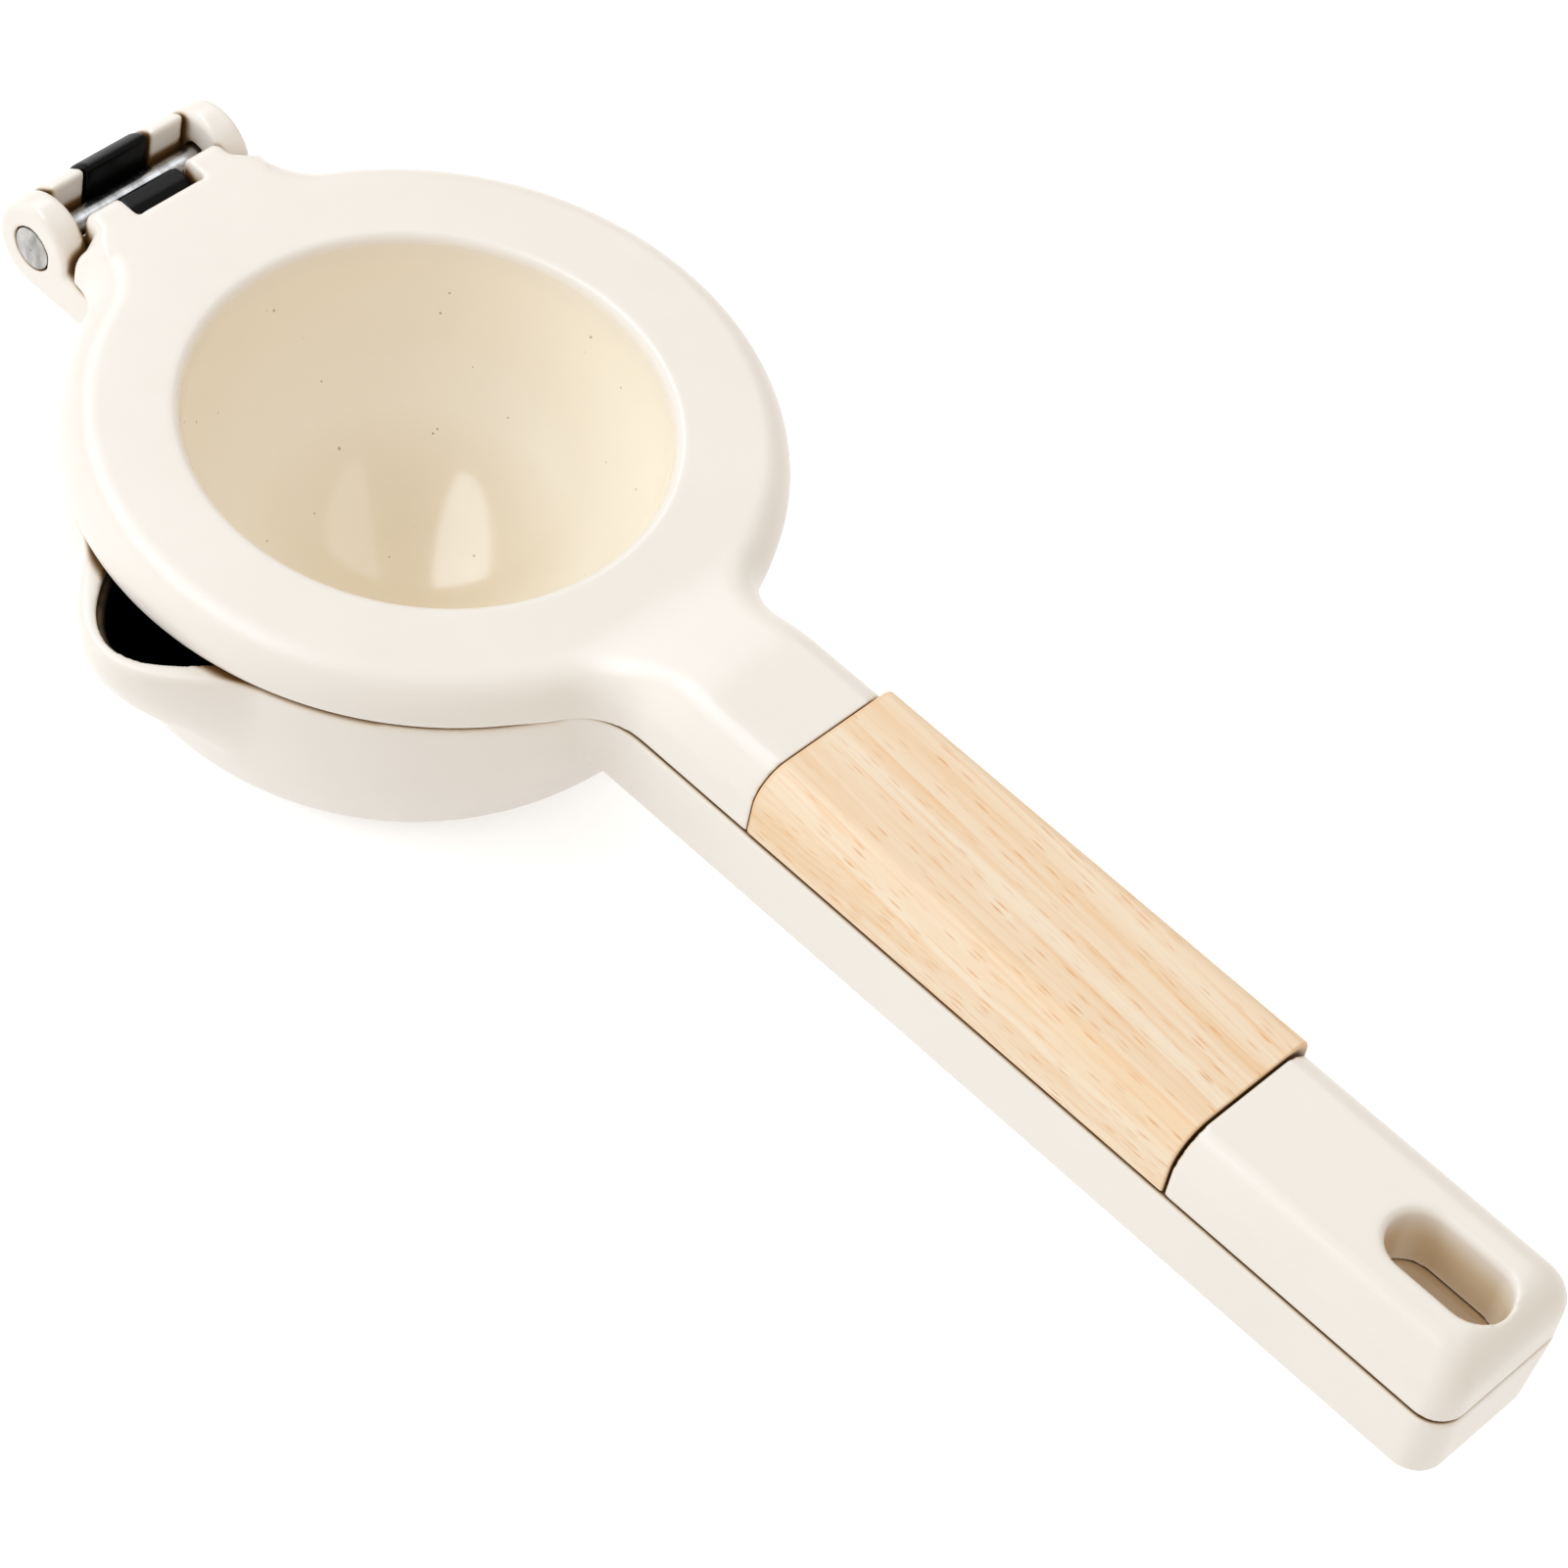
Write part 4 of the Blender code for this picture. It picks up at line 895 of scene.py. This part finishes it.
def grip_outline():
    """YZ section of the grip: a saddle over the core, its far top edge the sharper one."""
    wide = HANDLE_HALF_WIDTH + GRIP_PROUD
    top = HANDLE_TOP_Z + GRIP_PROUD
    inner = HANDLE_HALF_WIDTH - GRIP_WALL
    roof = HANDLE_TOP_Z - GRIP_WALL
    low = UPPER_SOLE_Z + GRIP_SOLE_ROUND
    points = arc((wide - GRIP_SOLE_ROUND, low), GRIP_SOLE_ROUND, -90, 0, steps=2)
    points += arc((wide - GRIP_FAR_ROUND, top - GRIP_FAR_ROUND), GRIP_FAR_ROUND, 0, 90, steps=6)
    points += arc((GRIP_NEAR_ROUND - wide, top - GRIP_NEAR_ROUND), GRIP_NEAR_ROUND, 90, 180, steps=8)
    points += arc((GRIP_SOLE_ROUND - wide, low), GRIP_SOLE_ROUND, 180, 270, steps=2)
    return points + [(-inner, UPPER_SOLE_Z), (-inner, roof), (inner, roof), (inner, UPPER_SOLE_Z)]


def make_wood_grip():
    start = GRIP_START_X + GRIP_FRONT_GAP
    levels = [(start + rise, inset) for inset, rise in rounding(GRIP_END_ROUND)]
    levels += [(start + (GRIP_END_X - FIT) - x, inset) for x, inset in reversed(levels)]
    rings = [[(x, y, z) for y, z in offset(grip_outline(), inset)] for x, inset in levels]
    grip = loft("beech_grip", rings)
    for x in SCREW_X:
        cut(grip, make_screw_hole(x))
    return shaded(grip)


def strainer_profiles():
    """Outer and inner half sections of the strainer's bowl."""
    top = LOWER_TOP_Z - LEDGE_DEPTH + FIT
    bottom = CUP_WALL + STRAINER_CLEARANCE
    outer = bowl_profile(STRAINER_RADIUS, bottom, top, 0.0)
    inner = bowl_profile(STRAINER_RADIUS - STRAINER_WALL, bottom + STRAINER_WALL, top, 0.0)
    return outer, inner, top


def add_drain_hole(bm, radius, angle):
    """A short cylinder square to the strainer's round bottom, at a distance from its axis."""
    outer, _, top = strainer_profiles()
    depth = top - outer[-1][1]
    drop = math.sqrt(1 - (radius / STRAINER_RADIUS) ** 2)
    slope = depth * radius / (STRAINER_RADIUS ** 2 * drop)
    out = Vector((math.cos(angle), math.sin(angle), 0.0))
    axis = (Vector(Z_AXIS) - out * slope).normalized()
    turn = Vector(Z_AXIS).rotation_difference(axis).to_matrix().to_4x4()
    place = Matrix.Translation(out * radius + Vector((0, 0, top - depth * drop)))
    bmesh.ops.create_cone(bm, cap_ends=True, segments=8 * DETAIL, radius1=HOLE_RADIUS, radius2=HOLE_RADIUS,
                          depth=2 * (STRAINER_WALL + HOLE_CUT), matrix=place @ turn)


def make_drain_holes():
    """Drain holes: one in the middle, and rings with more holes the wider they are."""
    bm = bmesh.new()
    add_drain_hole(bm, 0.0, 0.0)
    for ring in range(1, HOLE_RING_COUNT + 1):
        count = HOLES_IN_FIRST_RING * ring
        for number in range(count):
            add_drain_hole(bm, HOLE_RING_SPACING * ring, math.tau * number / count)
    return add_object("drain_holes", bm)


def make_strainer():
    outer, inner, top = strainer_profiles()
    flange = CUP_MOUTH_RADIUS - FIT
    flange_top = top + FLANGE_HEIGHT
    bore = STRAINER_RADIUS - STRAINER_WALL
    rim = [(bore, top), (bore, flange_top), (flange, flange_top), (flange, top)]
    strainer = turned("moulded_strainer", list(reversed(inner[1:])) + rim + outer)
    cut(strainer, make_drain_holes())
    return soften(strainer, STRAINER_VOXEL)


# Materials
def add_node(tree, kind, inputs=None, **settings):
    """Add a shader node; an input is a value or the output socket of another node."""
    item = tree.nodes.new(kind)
    for key, value in settings.items():
        setattr(item, key, value)
    for socket, value in (inputs or {}).items():
        if isinstance(value, bpy.types.NodeSocket):
            tree.links.new(value, item.inputs[socket])
        else:
            item.inputs[socket].default_value = value
    return item


def new_material(name, colour, roughness, metallic=0.0):
    """A material with its Principled shader, and the place on the object as its coordinates."""
    material = bpy.data.materials.new(name)
    material.use_nodes = True
    tree = material.node_tree
    shader = tree.nodes["Principled BSDF"]
    for name, value in (("Base Color", (*colour, 1.0)), ("Roughness", roughness), ("Metallic", metallic)):
        shader.inputs[name].default_value = value
    place = tree.nodes.new("ShaderNodeTexCoord").outputs["Object"]
    return material, tree, shader, place


def math_node(tree, operation, first, second=0.0, third=0.0):
    item = add_node(tree, "ShaderNodeMath", {0: first, 1: second, 2: third}, operation=operation)
    return item.outputs[0]


def times(tree, first, second):
    return math_node(tree, "MULTIPLY", first, second)


def along_axis(tree, place, axis):
    return add_node(tree, "ShaderNodeSeparateXYZ", {0: place}).outputs[axis]


def mix_colour(tree, share, *colours):
    """Mix two colours by a share; each is a colour value or a socket."""
    first, second = [c if isinstance(c, bpy.types.NodeSocket) else (*c, 1.0) for c in colours]
    item = add_node(tree, "ShaderNodeMix", {"Factor": share, 6: first, 7: second}, data_type="RGBA")
    return item.outputs[2]


def map_range(tree, value, low, high, to_low=0.0, to_high=1.0):
    item = add_node(tree, "ShaderNodeMapRange", {"Value": value, "From Min": low, "From Max": high,
                                                 "To Min": to_low, "To Max": to_high})
    return item.outputs["Result"]


def noise(tree, place, scale, detail=2.0):
    """Soft noise from 0 to 1, with its scale in waves to the metre."""
    item = add_node(tree, "ShaderNodeTexNoise", {"Vector": place, "Scale": scale, "Detail": detail})
    return item.outputs["Fac"]


def stretched(tree, place, scale):
    """Coordinates scaled by a different amount along each axis."""
    item = add_node(tree, "ShaderNodeVectorMath", {0: place, 1: scale}, operation="MULTIPLY")
    return item.outputs["Vector"]


def set_finish(tree, shader, colour, roughness, height, relief):
    """Link a surface's colour, roughness and texture to its shader."""
    tree.links.new(colour, shader.inputs["Base Color"])
    tree.links.new(roughness, shader.inputs["Roughness"])
    bump = add_node(tree, "ShaderNodeBump", {"Height": height, "Strength": 1.0, "Distance": relief})
    tree.links.new(bump.outputs["Normal"], shader.inputs["Normal"])


def cells(tree, place, scale):
    """Scattered cells: the distance from each one's middle, and a chance number for each."""
    cell = add_node(tree, "ShaderNodeTexVoronoi", {"Vector": place, "Scale": scale, "Randomness": 1.0})
    chance = add_node(tree, "ShaderNodeSeparateColor", {0: cell.outputs["Color"]}).outputs[0]
    return cell.outputs["Distance"], chance


def distance_from(tree, place, centre, axes):
    """Distance from a point, with each axis scaled, or left out at 0."""
    away = add_node(tree, "ShaderNodeVectorMath", {0: place, 1: centre}, operation="SUBTRACT")
    scaled = stretched(tree, away.outputs["Vector"], axes)
    return add_node(tree, "ShaderNodeVectorMath", {0: scaled}, operation="LENGTH").outputs["Value"]


def shade_gaps(tree, colour):
    """Painted shade where a surface dips into a narrow gap: tan for the light that bounces there, and brown
    well inside.
    """
    item = add_node(tree, "ShaderNodeAmbientOcclusion", {"Distance": GAP_SHADE_REACH}, samples=8)
    openness = item.outputs["AO"]
    colour = mix_colour(tree, map_range(tree, openness, 0.62, 0.96, 0.85, 0.0), colour, GAP_PAINTED_BOUNCE_TAN)
    return mix_colour(tree, map_range(tree, openness, 0.5, 0.84, 1.0, 0.0), colour, GAP_PAINTED_SHADE_BROWN)


def start_cream(name):
    """Cream coat, a little uneven in tone and gloss."""
    material, tree, shader, place = new_material(name, CREAM, 0.33)
    tone = map_range(tree, noise(tree, place, 60.0), 0.3, 0.7)
    colour = mix_colour(tree, tone, CREAM, [c * 0.975 for c in CREAM])
    gloss = map_range(tree, noise(tree, place, 300.0), 0.3, 0.7, 0.3, 0.36)
    return material, tree, shader, place, colour, gloss


def slot_painted_shade(tree, place):
    """Share of the painted shade in the hanging slot: none at its rounded top edge, nearly full a few mm
    down.
    """
    centre = (SLOT_X, 0.0, HANDLE_TOP_Z)
    along, across, below = [distance_from(tree, place, centre, axis) for axis in (X_AXIS, Y_AXIS, Z_AXIS)]
    in_length = math_node(tree, "LESS_THAN", along, (SLOT_LENGTH + SLOT_EDGE_ROUND) / 2)
    in_width = math_node(tree, "LESS_THAN", across, (SLOT_WIDTH + SLOT_EDGE_ROUND) / 2)
    tan = map_range(tree, below, SLOT_SHADE_START, SLOT_SHADE_FULL, 0.0, 0.85)
    return times(tree, times(tree, in_length, in_width), tan)


def finish_cream(tree, shader, place, colour, gloss):
    """Finish the coat: painted shade, tan in the slot and brown deep in the seams, and a faint orange peel.
    """
    colour = shade_gaps(tree, mix_colour(tree, slot_painted_shade(tree, place), colour, SLOT_PAINTED_SHADE))
    set_finish(tree, shader, colour, gloss, noise(tree, place, 850.0, 1.0), PEEL_RELIEF)


def bowl_share(tree, place, height):
    """One on the inside of the bowl, fading out on its rounded rim, and none on its outside."""
    from_axis = distance_from(tree, place, (0.0, 0.0, 0.0), (1.0, 1.0, 0.0))
    within = map_range(tree, from_axis, BOWL_RADIUS - BOWL_COAT_SPREAD / 2, BOWL_RADIUS + BOWL_COAT_SPREAD,
                       1.0, 0.0)
    below = map_range(tree, height, RING_TOP_Z - BOWL_COAT_START, RING_TOP_Z - BOWL_COAT_FULL)
    rim_z = RING_TOP_Z - BOWL_RIM_ROUND
    reach = distance_from(tree, place, (0.0, 0.0, rim_z),
                          (1 / BOWL_RADIUS, 1 / BOWL_RADIUS, 1 / (rim_z - BOWL_BOTTOM_Z)))
    hollow = math_node(tree, "LESS_THAN", reach, 1 + BOWL_WALL / 2 / BOWL_RADIUS)
    return times(tree, times(tree, within, below), hollow)


def make_upper_coat():
    """The cream coat inside the bowl: glossier, finely specked, lighter and warmer in part as painted bounce
    light, and tan towards its bottom as painted shade.
    """
    material, tree, shader, place, colour, gloss = start_cream("cream_coat")
    height = along_axis(tree, place, "Z")
    in_bowl = bowl_share(tree, place, height)
    # Painted shade: tan towards the bowl's bottom
    painted_bowl_shade = map_range(tree, height, BOWL_BOTTOM_Z + BOWL_SHADE_HEIGHT, BOWL_BOTTOM_Z)
    colour = mix_colour(tree, in_bowl, colour, mix_colour(tree, painted_bowl_shade, BOWL_CREAM_AND_PAINTED_BOUNCE, BOWL_PAINTED_SHADE_TAN))
    distance, chance = cells(tree, place, 900.0)
    speck = math_node(tree, "LESS_THAN", distance, map_range(tree, chance, 0.95, 1.0, 0.0, 0.2))
    colour = mix_colour(tree, times(tree, speck, times(tree, in_bowl, 0.6)), colour, SPECK)
    gloss = math_node(tree, "SUBTRACT", gloss, times(tree, in_bowl, 0.2))
    finish_cream(tree, shader, place, colour, gloss)
    return material


def make_lower_coat():
    """The cream coat, painted black inside the cup for the shade in its hollow."""
    material, tree, shader, place, colour, gloss = start_cream("cream_and_painted_cup_shade")
    depth = add_node(tree, "ShaderNodeAttribute", attribute_name="cup_depth").outputs["Fac"]
    inside = map_range(tree, depth, -CUP_SHADE_BLEND, CUP_SHADE_BLEND)
    # Painted black shade inside the cup
    finish_cream(tree, shader, place, mix_colour(tree, inside, colour, CUP_PAINTED_SHADE_BLACK), gloss)
    return material


def make_beech():
    """Beech: bands, growth rings, fine streaks and thin flecks along the grain, with painted shade at its
    ends and its far edge.
    """
    material, tree, shader, place = new_material("oiled_beech", BEECH_LIGHT, 0.5)
    straight = add_node(tree, "ShaderNodeMapping", {"Vector": place, "Rotation": (0.0, 0.0, GRAIN_TURN)})
    straight = straight.outputs["Vector"]
    wander = noise(tree, stretched(tree, straight, (14.0, 60.0, 60.0)), 1.0, 1.0)
    sway = add_node(tree, "ShaderNodeCombineXYZ", {"Y": times(tree, wander, GRAIN_SWAY)})
    grain = add_node(tree, "ShaderNodeVectorMath", {0: straight, 1: sway.outputs[0]}, operation="ADD")
    grain = grain.outputs["Vector"]
    bands = noise(tree, stretched(tree, grain, (8.0, 420.0, 260.0)), 1.0, 3.0)
    streaks = noise(tree, stretched(tree, grain, (40.0, 1700.0, 1700.0)), 1.0, 3.0)
    colour = mix_colour(tree, map_range(tree, bands, 0.36, 0.68), BEECH_LIGHT, BEECH_MIDDLE)
    slant = math_node(tree, "MULTIPLY_ADD", along_axis(tree, grain, "Z"), GRAIN_SLANT,
                      along_axis(tree, grain, "Y"))
    years = math_node(tree, "DIVIDE", slant, GROWTH_RING)
    ring = math_node(tree, "POWER", math_node(tree, "FRACT", years), 3.0)
    broken = map_range(tree, noise(tree, stretched(tree, grain, (60.0, 300.0, 300.0)), 1.0), 0.36, 0.62)
    colour = mix_colour(tree, times(tree, times(tree, ring, broken), 0.62), colour, BEECH_DARK)
    colour = mix_colour(tree, map_range(tree, streaks, 0.5, 0.74, 0.0, 0.55), colour, BEECH_DARK)
    distance, strength = cells(tree, stretched(tree, grain, (270.0, 2300.0, 2300.0)), 1.0)
    fleck = times(tree, map_range(tree, distance, 0.42, 0.1), map_range(tree, strength, 0.35, 1.0, 0.0, 0.8))
    colour = mix_colour(tree, fleck, colour, FLECK)
    # Painted shade at the grip's ends and far edge
    from_middle = distance_from(tree, place, ((GRIP_START_X + GRIP_END_X) / 2, 0.0, 0.0), X_AXIS)
    across = along_axis(tree, place, "Y")
    for away, edge, start, most in ((from_middle, GRIP_LENGTH / 2, WOOD_END_PAINTED_SHADE, 0.5),
                                    (across, HANDLE_HALF_WIDTH, WOOD_FAR_EDGE_PAINTED_SHADE, 0.7)):
        painted_wood_shade = map_range(tree, away, edge - start, edge - WOOD_SHADE_DARKEST, 0.0, most)
        colour = mix_colour(tree, painted_wood_shade, colour, BEECH_DARK)
    roughness = map_range(tree, streaks, 0.3, 0.7, 0.42, 0.56)
    height = math_node(tree, "SUBTRACT", streaks, times(tree, fleck, 0.8))
    # Painted shade in the gaps around the grip
    set_finish(tree, shader, shade_gaps(tree, colour), roughness, height, GRAIN_RELIEF)
    return material


def make_steel(name, centre, axes, lengthwise):
    """Turned steel with fine lines around its axis and worn patches."""
    material, tree, shader, place = new_material(name, STEEL, 0.24, 1.0)
    radius = distance_from(tree, place, centre, axes)
    along = distance_from(tree, place, centre, lengthwise)
    lines = add_node(tree, "ShaderNodeCombineXYZ", {"X": radius, "Y": along})
    ridges = noise(tree, stretched(tree, lines.outputs[0], (9000.0, 2600.0, 1.0)), 1.0)
    wear = map_range(tree, noise(tree, stretched(tree, place, (700.0, 700.0, 300.0)), 1.0, 3.0), 0.42, 0.7)
    roughness = map_range(tree, ridges, 0.3, 0.7, 0.21, 0.26)
    set_finish(tree, shader, mix_colour(tree, wear, STEEL, STEEL_WORN), roughness, ridges, STEEL_RELIEF)
    return material


def make_black_plastic():
    """Satin black plastic with the fine texture of its mould, lighter on upward faces: a painted sheen with a
    little dust.
    """
    material, tree, shader, place = new_material("satin_black", BLACK, 0.36)
    shader.inputs["Specular IOR Level"].default_value = 0.08
    normal = add_node(tree, "ShaderNodeTexCoord").outputs["Normal"]
    # Lighter upward faces: painted sheen, with a little dust
    dust_and_sheen = map_range(tree, along_axis(tree, normal, "Z"), 0.8, 0.97)
    roughness = map_range(tree, noise(tree, place, 500.0), 0.3, 0.7, 0.3, 0.38)
    set_finish(tree, shader, mix_colour(tree, dust_and_sheen, BLACK, BLACK_DUST_AND_SHEEN), roughness,
               noise(tree, place, 2600.0), MOULD_RELIEF)
    return material


# Room
def seen_plainly(tree):
    """One for what the camera sees, straight, mirrored or through glass."""
    path = add_node(tree, "ShaderNodeLightPath")
    seen = math_node(tree, "MAXIMUM", path.outputs["Is Camera Ray"], path.outputs["Is Glossy Ray"])
    return math_node(tree, "MAXIMUM", seen, path.outputs["Is Transmission Ray"])


def make_floor():
    """A pale floor that keeps the shadow, lifted towards white for the camera alone."""
    bm = bmesh.new()
    bmesh.ops.create_grid(bm, x_segments=1, y_segments=1, size=FLOOR_SIZE / 2)
    floor = add_object("floor", bm)
    material, tree, shader, _ = new_material("pale_floor", FLOOR_WHITE, 0.9)
    shader.inputs["Specular IOR Level"].default_value = 0.0
    shader.inputs["Emission Color"].default_value = (*WHITE, 1.0)
    tree.links.new(times(tree, seen_plainly(tree), FLOOR_LIFT), shader.inputs["Emission Strength"])
    floor.data.materials.append(material)


def make_world():
    """An even room light, seen as white by the camera and in reflections."""
    world = bpy.data.worlds.new("room")
    world.use_nodes = True
    tree = world.node_tree
    seen = seen_plainly(tree)
    background = tree.nodes["Background"]
    tree.links.new(mix_colour(tree, seen, ROOM_TINT, WHITE), background.inputs["Color"])
    tree.links.new(map_range(tree, seen, 0.0, 1.0, ROOM_LIGHT), background.inputs["Strength"])
    bpy.context.scene.world = world


def add_window(name, place, aim, size, power, direction=None):
    """A wide light that faces a point, or a long oval one with its length along a direction in plan."""
    data = bpy.data.lights.new(name, "AREA")
    data.shape = "RECTANGLE" if direction is None else "ELLIPSE"
    data.size, data.size_y = size
    data.energy = power
    data.color = WINDOW_TINT
    item = new_object(name, data)
    if direction is None:
        turn = (aim - place).to_track_quat("-Z", "Y").to_matrix()
    else:
        turn = Matrix.Rotation(direction - math.pi / 2, 3, "Z")
    item.matrix_world = Matrix.Translation(place) @ turn.to_4x4()
    return item


def make_lights():
    for name, plan, power, shine in (
            ("bright_window", BRIGHT_WINDOW_PLACE, BRIGHT_WINDOW_POWER, False),
            ("bright_shine", BRIGHT_WINDOW_PLACE, BRIGHT_SHINE_POWER, True),
            ("dim_window", DIM_WINDOW_PLACE, DIM_WINDOW_POWER, False),
            ("dim_shine", DIM_WINDOW_PLACE, DIM_SHINE_POWER, True)):
        place = Vector((*plan, SHINE_HEIGHT if shine else WINDOW_HEIGHT))
        window = add_window(name, place, None, WINDOW_SIZE, power, WINDOW_DIRECTION)
        window.visible_diffuse = not shine
        window.visible_glossy = shine
        if shine:
            window.data.color = SHINE_TINT
    for name, place, size, power in (
            ("side_window", SIDE_WINDOW_PLACE, SIDE_WINDOW_SIZE, SIDE_WINDOW_POWER),
            ("front_window", FRONT_WINDOW_PLACE, FRONT_WINDOW_SIZE, FRONT_WINDOW_POWER)):
        window = add_window(name, place, Vector((0.0, 0.0, SEAM_Z)), size, power)
        window.visible_glossy = False


def make_camera():
    data = bpy.data.cameras.new("camera")
    data.lens = CAMERA_LENS
    data.sensor_width = CAMERA_SENSOR
    data.sensor_fit = "HORIZONTAL"
    camera = new_object("camera", data)
    turn = Matrix.Rotation(CAMERA_AZIMUTH, 3, "Z") @ Matrix.Rotation(math.pi / 2 - CAMERA_ELEVATION, 3, "X")
    turn = turn @ Matrix.Rotation(CAMERA_ROLL, 3, "Z")
    place = CAMERA_AIM + turn @ Vector((0.0, 0.0, CAMERA_DISTANCE))
    camera.matrix_world = Matrix.Translation(place) @ turn.to_4x4()
    bpy.context.scene.camera = camera


def dress(item, node, body, material):
    """Give a fine piece its finish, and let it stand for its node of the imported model."""
    item.data.materials.clear()
    item.data.materials.append(material)
    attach(item, body)
    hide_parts(node)


def main():
    steel = make_steel("turned_steel", tuple(PIN), (1.0, 0.0, 1.0), Y_AXIS)
    black = make_black_plastic()
    lower = make_lower_arm()
    mark_cup_depth(lower)
    dress(lower, "lower_arm", "lower_body", make_lower_coat())
    dress(make_upper_arm(), "upper_arm", "upper_body", make_upper_coat())
    dress(make_wood_grip(), "wood_grip", "upper_body", make_beech())
    dress(make_hinge_pin(), "hinge_pin", "lower_body", steel)
    dress(make_hinge_clip(), "hinge_clip", "upper_body", black)
    dress(make_strainer(), "strainer", "lower_body", black)
    for node, x in zip(("grip_screw_front", "grip_screw_rear"), SCREW_X):
        screw = make_steel(f"{node}_steel", (x, 0.0, UPPER_SOLE_Z), (1.0, 1.0, 0.0), Z_AXIS)
        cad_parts[node].data.materials.clear()
        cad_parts[node].data.materials.append(screw)
    make_floor()
    make_world()
    make_lights()
    make_camera()
    bpy.context.scene.view_settings.view_transform = "Standard"


main()
